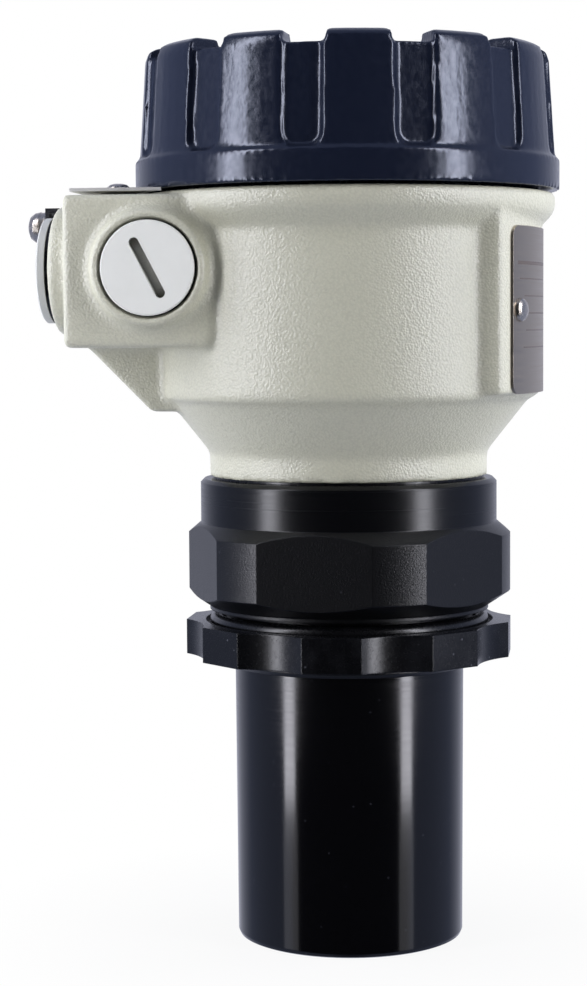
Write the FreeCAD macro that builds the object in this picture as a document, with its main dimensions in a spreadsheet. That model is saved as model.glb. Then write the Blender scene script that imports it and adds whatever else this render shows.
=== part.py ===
# Ultrasonic level transmitter: a cast housing with a cable block and a screwed crown cover, a plastic process
# fitting with its lock nut, and a sealed sensor cup below. Millimetres, +Z up the sensor axis, origin at the
# centre of the emitting face, cable block on -X, nameplate on +X, one conduit plug facing -Y.

import FreeCAD, Part
import math
import os
import Sketcher

DIMENSIONS = {
    # sensor cup and what it holds
    "tube_radius": 27.5,
    "tube_end_radius": 27.2,
    "tube_wall": 3.0,
    "tube_floor": 2.5,
    "tube_top": 98.0,
    "tube_edge": 1.2,
    "matching_thickness": 4.5,
    "piezo_radius": 19.0,
    "piezo_thickness": 8.0,
    "backing_top": 46.0,
    "probe_radius": 2.5,
    "probe_offset": 15.0,
    "probe_top": 54.0,
    "lead_radius": 2.2,
    "inner_gap": 0.2,
    # process fitting: threaded stub, relief, hexagon, collar and spigot
    "stub_radius": 29.8,
    "stub_bottom": 66.0,
    "stub_bore": 27.6,
    "relief_radius": 28.8,
    "relief_bottom": 77.4,
    "ridge_radius": 33.5,
    "ridge_bottom": 79.4,
    "ridge_top": 80.3,
    "hex_corner_radius": 38.75,
    "hex_half_across": 36.3,
    "hex_corner_half_across": 38.2,
    "hex_low": 83.8,
    "hex_high": 97.5,
    "collar_radius": 35.5,
    "collar_low": 100.3,
    "collar_top": 110.7,
    "collar_edge": 0.9,
    "spigot_radius": 25.7,
    "spigot_top": 121.0,
    "lead_bore": 21.0,
    # lock nut and the ring that lies on it
    "nut_bottom": 68.4,
    "nut_height": 8.3,
    "nut_half_across": 38.6,
    "nut_bore": 30.1,
    "nut_recess_radius": 34.6,
    "nut_recess_depth": 1.6,
    "scallop_radius": 22.4,
    "scallop_distance": 59.0,
    "ring_section": 1.6,
    "ring_radius": 31.9,
    "ring_lift": 0.1,
    # housing drum
    "neck_radius": 33.2,
    "neck_bottom": 111.3,
    "neck_top": 117.0,
    "cone_radius": 43.1,
    "drum_bottom": 129.55,
    "drum_radius": 45.0,
    "drum_round": 1.5,
    "drum_top": 169.2,
    "flange_radius": 49.3,
    "flange_bottom": 173.4,
    "flange_round": 1.7,
    "flange_top": 177.95,
    "flange_edge": 0.8,
    "neck_bore": 26.0,
    "neck_floor": 123.0,
    "cone_bore": 37.0,
    "ledge_height": 134.0,
    "cavity_radius": 40.8,
    "thread_bore": 43.7,
    "thread_bottom": 171.4,
    "oring_seat_radius": 46.2,
    "oring_seat_bottom": 175.95,
    # cable block and gusset
    "block_left": 61.2,
    "block_right": 25.6,
    "block_half_width": 37.5,
    "block_bottom": 142.25,
    "block_top": 176.9,
    "block_edge": 1.2,
    "block_corner": 2.7,
    "chamber_left": 52.0,
    "chamber_right": 20.0,
    "chamber_half_width": 27.4,
    "chamber_bottom": 148.0,
    "chamber_top": 171.3,
    "gusset_half_width": 17.0,
    "gusset_foot": 44.65,
    "gusset_bottom": 126.97,
    "gusset_root": 34.0,
    # cable entries
    "entry_height": 160.2,
    "conduit_offset": 40.85,
    "conduit_boss_radius": 13.6,
    "conduit_boss_crest": 13.1,
    "conduit_boss_height": 3.8,
    "conduit_boss_root": 1.6,
    "gland_boss_root": 0.8,
    "boss_round": 1.0,
    "conduit_recess_radius": 11.4,
    "conduit_recess_depth": 2.6,
    "conduit_bore": 10.4,
    "conduit_plug_radius": 10.75,
    "conduit_plug_stem": 10.1,
    "conduit_plug_length": 11.5,
    "conduit_plug_head": 1.35,
    "conduit_seal_radius": 10.95,
    "conduit_seal_thickness": 1.2,
    "gland_spacing": 34.0,
    "gland_boss_radius": 15.3,
    "gland_boss_crest": 15.0,
    "gland_boss_height": 5.0,
    "gland_bore": 10.0,
    "gland_plug_radius": 12.3,
    "gland_plug_stem": 9.6,
    "gland_plug_length": 11.0,
    "gland_plug_head": 2.0,
    "gland_seal_radius": 12.1,
    "gland_seal_thickness": 1.0,
    "seat_gap": 0.05,
    "plug_bore_depth": 6.0,
    "plug_wall": 2.6,
    "plug_slot_length": 15.0,
    "plug_slot_width": 2.3,
    "plug_slot_depth": 2.2,
    # earth terminal between the gland bosses
    "earth_height": 171.0,
    "earth_pillar_radius": 3.3,
    "earth_pillar_height": 10.4,
    "earth_clamp_width": 9.0,
    "earth_clamp_sheet": 1.0,
    "earth_clamp_lip": 2.4,
    "earth_washer_radius": 4.0,
    "earth_washer_sheet": 0.8,
    "earth_spring_radius": 3.7,
    "earth_spring_sheet": 1.2,
    "earth_spring_gap": 1.2,
    "earth_shank_radius": 2.0,
    "earth_shank_hole": 2.1,
    "earth_shank_length": 11.0,
    "earth_head_radius": 3.8,
    "earth_head_height": 3.0,
    "earth_slot_length": 4.8,
    "earth_slot_width": 1.0,
    "earth_slot_depth": 1.3,
    # top plate and nameplate
    "plate_sheet": 0.8,
    "plate_lift": 0.9,
    "plate_left": 60.2,
    "plate_half_width": 33.0,
    "plate_arc_radius": 51.0,
    "plate_rivet_offset": 51.0,
    "plate_rivet_spacing": 44.0,
    "plate_pad_radius": 4.5,
    "rivet_radius": 2.75,
    "rivet_height": 1.5,
    "rivet_shank_radius": 1.5,
    "rivet_shank_hole": 1.6,
    "rivet_shank_length": 3.5,
    "pad_front": 45.95,
    "pad_bend_radius": 62.0,
    "pad_half_width": 31.0,
    "pad_root": 20.0,
    "nameplate_sheet": 0.6,
    "nameplate_half_width": 27.0,
    "nameplate_bottom": 131.2,
    "nameplate_height": 38.2,
    "nameplate_corner": 2.6,
    "nameplate_rivet_half_spacing": 23.5,
    # cover
    "rim_radius": 50.3,
    "rim_bottom": 178.55,
    "rim_top": 186.0,
    "rim_edge": 0.5,
    "lobe_foot_radius": 49.2,
    "lobe_foot": 186.45,
    "lobe_head_radius": 47.75,
    "lobe_head": 208.9,
    "lobe_shoulder_radius": 47.0,
    "lobe_shoulder": 210.95,
    "lobe_bevel_radius": 44.9,
    "cover_top": 211.95,
    "crown_inner_radius": 38.6,
    "disc_top": 209.05,
    "disc_bottom": 206.0,
    "window_radius": 29.0,
    "glass_pocket_radius": 36.5,
    "glass_pocket_bottom": 193.6,
    "cover_bore": 40.6,
    "skirt_radius": 43.4,
    "skirt_bottom": 172.2,
    "groove_depth": 1.6,
    "groove_corner": 3.4,
    "groove_low": 186.05,
    "groove_width": 9.7,
    "notch_floor": 37.6,
    "notch_reach": 20.0,
    "cover_oring_section": 1.2,
    "cover_oring_radius": 44.85,
    "cover_oring_height": 177.25,
    "glass_radius": 36.2,
    "glass_bottom": 199.0,
    "glass_top": 205.0,
    "glass_ring_bottom": 194.6,
    "glass_ring_bore": 30.5,
    # electronics and display
    "pot_radius": 40.3,
    "pot_top": 155.0,
    "board_radius": 39.8,
    "board_thickness": 1.6,
    "board_screw_circle": 36.0,
    "board_screw_head": 2.8,
    "board_screw_height": 1.8,
    "board_screw_shank": 1.4,
    "board_screw_hole": 1.5,
    "board_screw_length": 6.0,
    "terminal_length": 38.0,
    "terminal_width": 14.0,
    "terminal_height": 12.0,
    "terminal_offset": 15.0,
    "terminal_pitch": 6.0,
    "terminal_well_radius": 2.2,
    "terminal_well_depth": 4.0,
    "terminal_screw_radius": 1.9,
    "terminal_screw_height": 1.6,
    "terminal_wire_radius": 1.6,
    "terminal_wire_height": 3.6,
    "terminal_wire_depth": 7.0,
    "post_circle": 29.0,
    "post_radius": 3.0,
    "bezel_radius": 33.0,
    "bezel_bottom": 180.0,
    "bezel_top": 193.0,
    "lcd_length": 46.0,
    "lcd_width": 28.0,
    "lcd_thickness": 1.8,
    "lcd_offset": 4.0,
    "lcd_gap": 0.2,
    "key_radius": 2.8,
    "key_hole_radius": 3.1,
    "key_pitch": 9.0,
    "key_offset": 20.0,
    "key_proud": 1.2,
    "key_depth": 2.6,
    "key_hole_depth": 3.8,
    "key_dome_foot": 2.0,
    "key_dome_head": 1.3,
    "key_edge": 0.4,
}

COVER_LOBES = 12
LOBE_DRAUGHT_DEG = 3.6
GROOVE_TAPER_DEG = 22.0
ARC_STEPS = 4
NUT_LOBES = 8
TERMINALS = 5
KEY_NAMES = ("key_escape", "key_minus", "key_plus", "key_enter")
BOARD_SCREW_ANGLES = (60, 180, 300)
POST_ANGLES = (30, 150, 270)
# turn of each patterned form about +Z, so that its facets face as they do on the object
HEX_TURN_DEG = -96.6
LOBE_AZIMUTH_DEG = 9.3
CONDUIT_SLOT_TURN_DEG = -62.4

doc = FreeCAD.newDocument("level_transmitter")
sheet = doc.addObject("Spreadsheet::Sheet", "Dimensions")
for row, (alias, number) in enumerate(DIMENSIONS.items(), start=1):
    sheet.set(f"A{row}", alias)
    sheet.set(f"B{row}", str(number))
    sheet.setAlias(f"B{row}", alias)
doc.recompute()


class Size:
    """A length that keeps its number in millimetres together with the sheet expression that gives it."""

    def __init__(self, number, text):
        self.number = number
        self.text = text

    def __add__(self, other):
        other = as_size(other)
        return Size(self.number + other.number, f"({self.text} + {other.text})")

    def __sub__(self, other):
        other = as_size(other)
        return Size(self.number - other.number, f"({self.text} - {other.text})")

    def __mul__(self, factor):
        return Size(self.number * factor, f"({self.text} * ({factor:.9f}))")

    def __truediv__(self, divisor):
        return self * (1.0 / divisor)

    def __neg__(self):
        return self * -1.0


class Dimensions:
    """The sheet's aliases as attributes, each one a Size."""

    def __getattr__(self, alias):
        return Size(DIMENSIONS[alias], f"Dimensions.{alias}")


size = Dimensions()
ZERO = Size(0.0, "0")


def as_size(value):
    return value if isinstance(value, Size) else Size(float(value), f"({float(value):.9f})")


def bind(target, **sizes):
    """Bind properties of an object to sheet expressions."""
    for name, value in sizes.items():
        target.setExpression(name, as_size(value).text)
    return target


def place(target, x=ZERO, y=ZERO, z=ZERO, rotation=None):
    """Give an object its Placement, with the three coordinates bound to the sheet."""
    at = [as_size(value) for value in (x, y, z)]
    target.Placement = FreeCAD.Placement(
        FreeCAD.Vector(*[value.number for value in at]), rotation or FreeCAD.Rotation())
    for axis, value in zip("xyz", at):
        target.setExpression(f".Placement.Base.{axis}", value.text)
    return target


def turned(outward, across):
    """Rotation that takes local +Z to the outward direction and local +X to the across direction."""
    z_axis = FreeCAD.Vector(*outward)
    x_axis = FreeCAD.Vector(*across)
    return FreeCAD.Rotation(x_axis, z_axis.cross(x_axis), z_axis, "ZXY")


def new_body(name):
    body = doc.addObject("PartDesign::Body", name)
    body.Label = name
    return body


def sketch_on(body, role, offset=ZERO, turn_deg=0.0):
    """Sketch on one of the body's origin planes, moved along the plane's normal by the offset."""
    sketch = body.newObject("Sketcher::SketchObject", f"{body.Name}_outline")
    plane = next(feature for feature in body.Origin.OriginFeatures if feature.Role == role)
    sketch.AttachmentSupport = [(plane, "")]
    sketch.MapMode = "FlatFace"
    offset = as_size(offset)
    sketch.AttachmentOffset = FreeCAD.Placement(
        FreeCAD.Vector(0, 0, offset.number), FreeCAD.Rotation(FreeCAD.Vector(0, 0, 1), turn_deg))
    sketch.setExpression(".AttachmentOffset.Base.z", offset.text)
    return sketch


def pin_point(sketch, geometry, vertex, x, y):
    """Hold one point of a sketch at its two coordinates."""
    for kind, value, axis in (("DistanceX", as_size(x), -2), ("DistanceY", as_size(y), -1)):
        if value.number == 0.0:
            sketch.addConstraint(Sketcher.Constraint("PointOnObject", geometry, vertex, axis))
            continue
        index = sketch.addConstraint(Sketcher.Constraint(kind, -1, 1, geometry, vertex, value.number))
        sketch.setExpression(f"Constraints[{index}]", value.text)


def flat(x, y):
    return FreeCAD.Vector(as_size(x).number, as_size(y).number, 0)


def draw_polygon(sketch, points):
    """Closed outline of straight lines through points given by their two sizes."""
    first = sketch.GeometryCount
    count = len(points)
    for index, point in enumerate(points):
        following = points[(index + 1) % count]
        sketch.addGeometry(Part.LineSegment(flat(*point), flat(*following)), False)
    for index, point in enumerate(points):
        after = first + (index + 1) % count
        sketch.addConstraint(Sketcher.Constraint("Coincident", first + index, 2, after, 1))
        pin_point(sketch, first + index, 1, *point)


def draw_circle(sketch, x, y, radius):
    outline = Part.Circle(flat(x, y), FreeCAD.Vector(0, 0, 1), as_size(radius).number)
    circle = sketch.addGeometry(outline, False)
    pin_point(sketch, circle, 3, x, y)
    index = sketch.addConstraint(Sketcher.Constraint("Radius", circle, as_size(radius).number))
    sketch.setExpression(f"Constraints[{index}]", as_size(radius).text)


def draw_rectangle(sketch, x_low, x_high, y_low, y_high):
    draw_polygon(sketch, [(x_low, y_low), (x_high, y_low), (x_high, y_high), (x_low, y_high)])


def ring_of_flats(half_across_by_angle):
    """Corners of a polygon whose flats lie at the given angles and distances from the axis."""
    flats = sorted(half_across_by_angle.items())
    corners = []
    for index, (angle, distance) in enumerate(flats):
        next_angle, next_distance = flats[(index + 1) % len(flats)]
        sweep = math.radians((next_angle - angle) % 360)
        base = math.radians(angle)
        along = (next_distance - distance * math.cos(sweep)) / math.sin(sweep)
        corners.append((distance * math.cos(base) - along * math.sin(base),
                        distance * math.sin(base) + along * math.cos(base)))
    return corners


def revolved(name, profile):
    """Body of revolution about +Z from a profile of radius and height pairs."""
    body = new_body(name)
    sketch = sketch_on(body, "XZ_Plane")
    draw_polygon(sketch, profile)
    turn = body.newObject("PartDesign::Revolution", f"{name}_turn")
    turn.Profile = sketch
    turn.ReferenceAxis = (sketch, ["V_Axis"])
    turn.Angle = 360
    return body


def ring(name, inner, outer, bottom, top):
    """Plain ring or, with no inner radius, a disc."""
    return revolved(name, [(inner, bottom), (outer, bottom), (outer, top), (inner, top)])


def padded(body, sketch, length, midplane=False):
    pad = body.newObject("PartDesign::Pad", f"{body.Name}_pad")
    pad.Profile = sketch
    pad.Length = length.number
    pad.setExpression("Length", length.text)
    if midplane:
        pad.SideType = "Symmetric"
    return pad


def cut_by(body, sketch, length, reverse=False, taper_deg=0.0):
    """Pocket of the sketch into the body, narrower with depth where it tapers, checked to cut."""
    doc.recompute()
    before = body.Shape.Volume
    pocket = body.newObject("PartDesign::Pocket", f"{body.Name}_pocket")
    pocket.Profile = sketch
    pocket.Length = length.number
    pocket.setExpression("Length", length.text)
    pocket.Reversed = reverse
    pocket.TaperAngle = -taper_deg
    doc.recompute()
    if not body.Shape.Volume < before:
        raise RuntimeError(f"pocket in {body.Label} cut nothing")
    return pocket


def polar(body, features, count):
    """Repeat features of a body evenly about +Z."""
    pattern = body.newObject("PartDesign::PolarPattern", f"{body.Name}_pattern")
    pattern.Originals = features
    axis = next(feature for feature in body.Origin.OriginFeatures if feature.Role == "Z_Axis")
    pattern.Axis = (axis, [""])
    pattern.Angle = 360
    pattern.Occurrences = count
    body.Tip = pattern
    return pattern


def rounded(body, radius, wanted):
    """Fillet the edges of a body for which the test holds."""
    doc.recompute()
    base = body.Tip
    names = [f"Edge{i}" for i, edge in enumerate(base.Shape.Edges, start=1) if wanted(edge)]
    fillet = body.newObject("PartDesign::Fillet", f"{body.Name}_round")
    fillet.Base = (base, names)
    fillet.Radius = radius.number
    fillet.setExpression("Radius", radius.text)
    return fillet


def runs_along(edge, axis):
    """True for a straight edge parallel to the given axis, 0 to 2 for X to Z."""
    if edge.Curve.TypeId != "Part::GeomLine":
        return False
    return abs(abs(edge.tangentAt(edge.FirstParameter)[axis]) - 1.0) < 1e-6


def primitive(kind, name, **sizes):
    shape = doc.addObject(kind, name)
    shape.Label = name
    return bind(shape, **sizes)


def cylinder(name, radius, height):
    return primitive("Part::Cylinder", name, Radius=radius, Height=height)


def cone(name, foot_radius, head_radius, height):
    return primitive("Part::Cone", name, Radius1=foot_radius, Radius2=head_radius, Height=height)


def box(name, x_low, x_high, y_low, y_high, z_low, z_high):
    solid = primitive("Part::Box", name, Length=x_high - x_low, Width=y_high - y_low, Height=z_high - z_low)
    return place(solid, x_low, y_low, z_low)


def fused(name, pieces):
    fuse = doc.addObject("Part::MultiFuse", name)
    fuse.Label = name
    fuse.Shapes = pieces
    return fuse


def cut(name, base, tools):
    """Take one or several solids away from a base solid."""
    result = doc.addObject("Part::Cut", name)
    result.Label = name
    result.Base = base
    result.Tool = tools[0] if len(tools) == 1 else fused(f"{name}_tools", tools)
    return result


def group(name, solids):
    """Several like solids that share one sub-part."""
    compound = doc.addObject("Part::Compound", name)
    compound.Label = name
    compound.Links = solids
    return compound


OUT_LEFT = turned((-1, 0, 0), (0, 0, 1))
OUT_FRONT = turned((0, -1, 0), (1, 0, 0))
OUT_REAR = turned((0, 1, 0), (-1, 0, 0))


def on_circle(radius, angle_deg):
    angle = math.radians(angle_deg)
    return radius * math.cos(angle), radius * math.sin(angle)


def domed_profile(radius, height, shank_radius, shank_length):
    """Head with a flattened dome, seated at height zero, on a plain shank that points down."""
    return [
        (ZERO, -shank_length),
        (shank_radius, -shank_length),
        (shank_radius, ZERO),
        (radius, ZERO),
        (radius * 0.93, height * 0.45),
        (radius * 0.72, height * 0.80),
        (radius * 0.38, height * 0.97),
        (ZERO, height),
    ]


def sensor_cup():
    """Moulded plastic cup whose closed flat end radiates the sound pulse."""
    wall_inside = size.tube_radius - size.tube_wall
    return revolved("sensor_cup", [
        (ZERO, ZERO),
        (size.tube_end_radius - size.tube_edge, ZERO),
        (size.tube_end_radius - size.tube_edge * 0.3, size.tube_edge * 0.3),
        (size.tube_end_radius, size.tube_edge),
        (size.tube_radius, size.stub_bottom),
        (size.tube_radius, size.tube_top),
        (wall_inside, size.tube_top),
        (wall_inside, size.tube_floor),
        (ZERO, size.tube_floor),
    ])


def transducer():
    """Matching layer, piezo disc with its cork ring, damping block, temperature probe and lead."""
    inside = size.tube_radius - size.tube_wall - size.inner_gap
    piezo_bottom = size.tube_floor + size.matching_thickness
    piezo_top = piezo_bottom + size.piezo_thickness
    matching = ring("matching_layer", ZERO, inside, size.tube_floor, piezo_bottom)
    piezo = ring("piezo_disc", ZERO, size.piezo_radius, piezo_bottom, piezo_top)
    cork = ring("decoupling_ring", size.piezo_radius + size.inner_gap, inside, piezo_bottom, piezo_top)
    block = ring("backing_form", ZERO, inside, piezo_top, size.backing_top)
    hole = cylinder("probe_hole", size.probe_radius + size.inner_gap, size.backing_top)
    place(hole, size.probe_offset, ZERO, piezo_top + size.piezo_thickness)
    backing = cut("backing_block", block, [hole])
    probe = cylinder("temperature_probe", size.probe_radius,
                     size.probe_top - piezo_top - size.piezo_thickness)
    place(probe, size.probe_offset, ZERO, piezo_top + size.piezo_thickness)
    lead = cylinder("transducer_lead", size.lead_radius, size.ledge_height - size.backing_top)
    place(lead, ZERO, ZERO, size.backing_top)
    return [matching, piezo, cork, backing, probe, lead]


def process_fitting():
    """Turned collar, hexagon with cut corners, and the stub that carries the process thread."""
    body = revolved("process_fitting", [
        (size.stub_bore, size.stub_bottom),
        (size.stub_radius - size.collar_edge, size.stub_bottom),
        (size.stub_radius, size.stub_bottom + size.collar_edge),
        (size.stub_radius, size.relief_bottom),
        (size.relief_radius, size.relief_bottom + size.collar_edge),
        (size.relief_radius, size.ridge_bottom),
        (size.ridge_radius, size.ridge_bottom),
        (size.ridge_radius, size.ridge_top),
        (size.hex_corner_radius, size.hex_low),
        (size.hex_corner_radius, size.hex_high),
        (size.collar_radius, size.collar_low),
        (size.collar_radius, size.collar_top - size.collar_edge),
        (size.collar_radius - size.collar_edge, size.collar_top),
        (size.spigot_radius, size.collar_top),
        (size.spigot_radius, size.spigot_top),
        (size.lead_bore, size.spigot_top),
        (size.lead_bore, size.tube_top),
        (size.stub_bore, size.tube_top),
    ])
    flats = {}
    for corner in range(6):
        flats[corner * 60.0] = size.hex_half_across.number
        flats[corner * 60.0 + 30.0] = size.hex_corner_half_across.number
    scale = size.hex_half_across.number
    corners = [(size.hex_half_across * (x / scale), size.hex_half_across * (y / scale))
               for x, y in ring_of_flats(flats)]
    around = sketch_on(body, "XY_Plane", size.ridge_bottom, HEX_TURN_DEG)
    draw_circle(around, ZERO, ZERO, size.hex_corner_radius + size.tube_wall)
    draw_polygon(around, corners)
    cut_by(body, around, size.collar_low - size.ridge_bottom, reverse=True)
    seal = ring("neck_seal", size.spigot_radius + size.inner_gap, size.neck_radius - size.collar_edge,
                size.collar_top, size.neck_bottom)
    return [body, seal]


def lock_nut():
    """Eight-lobed lock nut with scallops between the lobes and a recess for the O-ring."""
    body = new_body("lock_nut")
    octagon = sketch_on(body, "XY_Plane", size.nut_bottom)
    corner_ratio = math.tan(math.radians(180.0 / NUT_LOBES))
    corners = []
    for lobe in range(NUT_LOBES):
        angle = math.radians(lobe * 360.0 / NUT_LOBES)
        corners.append((size.nut_half_across * (math.cos(angle) - corner_ratio * math.sin(angle)),
                        size.nut_half_across * (math.sin(angle) + corner_ratio * math.cos(angle))))
    draw_polygon(octagon, corners)
    draw_circle(octagon, ZERO, ZERO, size.nut_bore)
    padded(body, octagon, size.nut_height)
    recess = sketch_on(body, "XY_Plane", size.nut_bottom + size.nut_height)
    draw_circle(recess, ZERO, ZERO, size.nut_recess_radius)
    cut_by(body, recess, size.nut_recess_depth)
    scallop = sketch_on(body, "XY_Plane", size.nut_bottom, 180.0 / NUT_LOBES)
    draw_circle(scallop, size.scallop_distance, ZERO, size.scallop_radius)
    polar(body, [cut_by(body, scallop, size.nut_height, reverse=True)], NUT_LOBES)
    oring = primitive("Part::Torus", "process_oring", Radius1=size.ring_radius, Radius2=size.ring_section)
    floor = size.nut_bottom + size.nut_height - size.nut_recess_depth
    place(oring, z=floor + size.ring_section + size.ring_lift)
    return [body, oring]


def drum_forms():
    """Outer drum of the casting with neck and flange, and the turned hollow inside it."""
    outer = revolved("drum_form", [
        (ZERO, size.neck_bottom),
        (size.neck_radius, size.neck_bottom),
        (size.neck_radius, size.neck_top),
        (size.cone_radius, size.drum_bottom),
        (size.drum_radius - size.drum_round, size.drum_bottom),
        (size.drum_radius - size.drum_round * 0.3, size.drum_bottom + size.drum_round * 0.3),
        (size.drum_radius, size.drum_bottom + size.drum_round),
        (size.drum_radius, size.drum_top),
        (size.flange_radius - size.flange_round * 0.72, size.flange_bottom - size.flange_round * 0.7),
        (size.flange_radius - size.flange_round * 0.18, size.flange_bottom + size.flange_round * 0.07),
        (size.flange_radius, size.flange_bottom + size.flange_round),
        (size.flange_radius, size.flange_top - size.flange_edge),
        (size.flange_radius - size.flange_edge, size.flange_top),
        (ZERO, size.flange_top),
    ])
    hollow = revolved("drum_hollow", [
        (ZERO, size.neck_bottom),
        (size.neck_bore, size.neck_bottom),
        (size.neck_bore, size.neck_floor),
        (size.cone_bore, size.ledge_height - size.tube_wall),
        (size.cone_bore, size.ledge_height),
        (size.cavity_radius, size.ledge_height),
        (size.cavity_radius, size.thread_bottom),
        (size.thread_bore, size.thread_bottom),
        (size.thread_bore, size.oring_seat_bottom),
        (size.oring_seat_radius, size.oring_seat_bottom),
        (size.oring_seat_radius, size.flange_top),
        (ZERO, size.flange_top),
    ])
    return outer, hollow


def block_form():
    """Cable block cast on the left of the drum, with soft edges."""
    body = new_body("block_form")
    footprint = sketch_on(body, "XY_Plane", size.block_bottom)
    draw_rectangle(footprint, -size.block_left, -size.block_right,
                   -size.block_half_width, size.block_half_width)
    padded(body, footprint, size.block_top - size.block_bottom)

    def towards_drum(edge):
        middle = edge.CenterOfMass
        on_right = abs(middle.x + size.block_right.number) < 0.01
        return on_right and (runs_along(edge, 2) or abs(middle.z - size.block_bottom.number) < 0.01)

    def outside_left(edge):
        return edge.CenterOfMass.x < -size.block_right.number - size.block_corner.number

    rounded(body, size.block_corner, towards_drum)
    rounded(body, size.block_edge, outside_left)
    return body


def gusset_form():
    """Sloped web that carries the block down to the cone."""
    body = new_body("gusset_form")
    side = sketch_on(body, "XZ_Plane")
    slope_top = size.gusset_foot + size.block_bottom - size.gusset_bottom
    draw_polygon(side, [
        (-slope_top, size.block_bottom),
        (-size.gusset_foot, size.gusset_bottom),
        (-size.gusset_root, size.gusset_bottom),
        (-size.gusset_root, size.block_bottom + size.block_edge),
        (-slope_top, size.block_bottom + size.block_edge),
    ])
    padded(body, side, size.gusset_half_width * 2, midplane=True)
    return body


def bent_strip(name, half_width, proud, depth, bottom, height):
    """Upright strip bent about the nameplate pad's axis; it stands proud of the pad and is that deep."""
    body = new_body(name)
    sketch = sketch_on(body, "XY_Plane", bottom)
    centre = size.pad_front - size.pad_bend_radius
    outer_radius = size.pad_bend_radius + proud
    inner_radius = outer_radius - depth
    radii = (outer_radius.number, inner_radius.number)
    ends = [math.sqrt(radius ** 2 - half_width.number ** 2) for radius in radii]
    middle = centre.number
    arcs = []
    for radius, end in zip(radii, ends):
        low = FreeCAD.Vector(middle + end, -half_width.number, 0)
        crown = FreeCAD.Vector(middle + radius, 0, 0)
        high = FreeCAD.Vector(middle + end, half_width.number, 0)
        arcs.append(sketch.addGeometry(Part.Arc(low, crown, high), False))
    sides = []
    for sign in (-1, 1):
        inner = FreeCAD.Vector(middle + ends[1], sign * half_width.number, 0)
        outer = FreeCAD.Vector(middle + ends[0], sign * half_width.number, 0)
        sides.append(sketch.addGeometry(Part.LineSegment(inner, outer), False))
    for side, vertex in zip(sides, (1, 2)):
        sketch.addConstraint(Sketcher.Constraint("Coincident", side, 1, arcs[1], vertex))
        sketch.addConstraint(Sketcher.Constraint("Coincident", side, 2, arcs[0], vertex))
        sketch.addConstraint(Sketcher.Constraint("Horizontal", side))
    for arc, radius in zip(arcs, (outer_radius, inner_radius)):
        pin_point(sketch, arc, 3, centre, ZERO)
        index = sketch.addConstraint(Sketcher.Constraint("Radius", arc, radius.number))
        sketch.setExpression(f"Constraints[{index}]", radius.text)
    for side, width in zip(sides, (-half_width, half_width)):
        index = sketch.addConstraint(Sketcher.Constraint("DistanceY", -1, 1, side, 1, width.number))
        sketch.setExpression(f"Constraints[{index}]", width.text)
    padded(body, sketch, height)
    return body


def entry(name, boss, recess, bore_radius, bore_depth, origin, rotation):
    """Raised cast boss and the hole drilled through it, both along one outward axis."""
    foot_radius, root, crest_radius, height = boss
    crest = size.boss_round
    raised = revolved(f"{name}_boss", [
        (ZERO, -root),
        (foot_radius + root, -root),
        *quarter(foot_radius + root, root, root, 270.0, 180.0),
        *quarter(crest_radius - crest, height - crest, crest, 0.0, 90.0),
        (ZERO, height),
    ])
    place(raised, *origin, rotation=rotation)
    through = bore_depth + size.tube_wall
    tools = [cylinder(f"{name}_bore", bore_radius, through + height)]
    place(tools[0], *inward(origin, rotation, through), rotation=rotation)
    if recess:
        recess_radius, recess_depth = recess
        tools.append(cylinder(f"{name}_recess", recess_radius, recess_depth))
        place(tools[1], *inward(origin, rotation, recess_depth - height), rotation=rotation)
    return raised, tools


def quarter(across, along, radius, start_deg, end_deg):
    """Points of a quarter circle about a centre in a turned profile."""
    points = []
    for step in range(ARC_STEPS + 1):
        angle = math.radians(start_deg + (end_deg - start_deg) * step / ARC_STEPS)
        points.append((across + radius * math.cos(angle), along + radius * math.sin(angle)))
    return points


def inward(origin, rotation, distance):
    """Point that lies a distance behind the origin on an outward axis parallel to X or Y."""
    outward = rotation.multVec(FreeCAD.Vector(0, 0, 1))
    return tuple(as_size(start) - as_size(distance) * component
                 for start, component in zip(origin, outward))


def conduit_origin(side):
    return -size.conduit_offset, size.block_half_width * side, size.entry_height


def gland_origin(side):
    return -size.block_left, size.gland_spacing * 0.5 * side, size.entry_height


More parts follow.
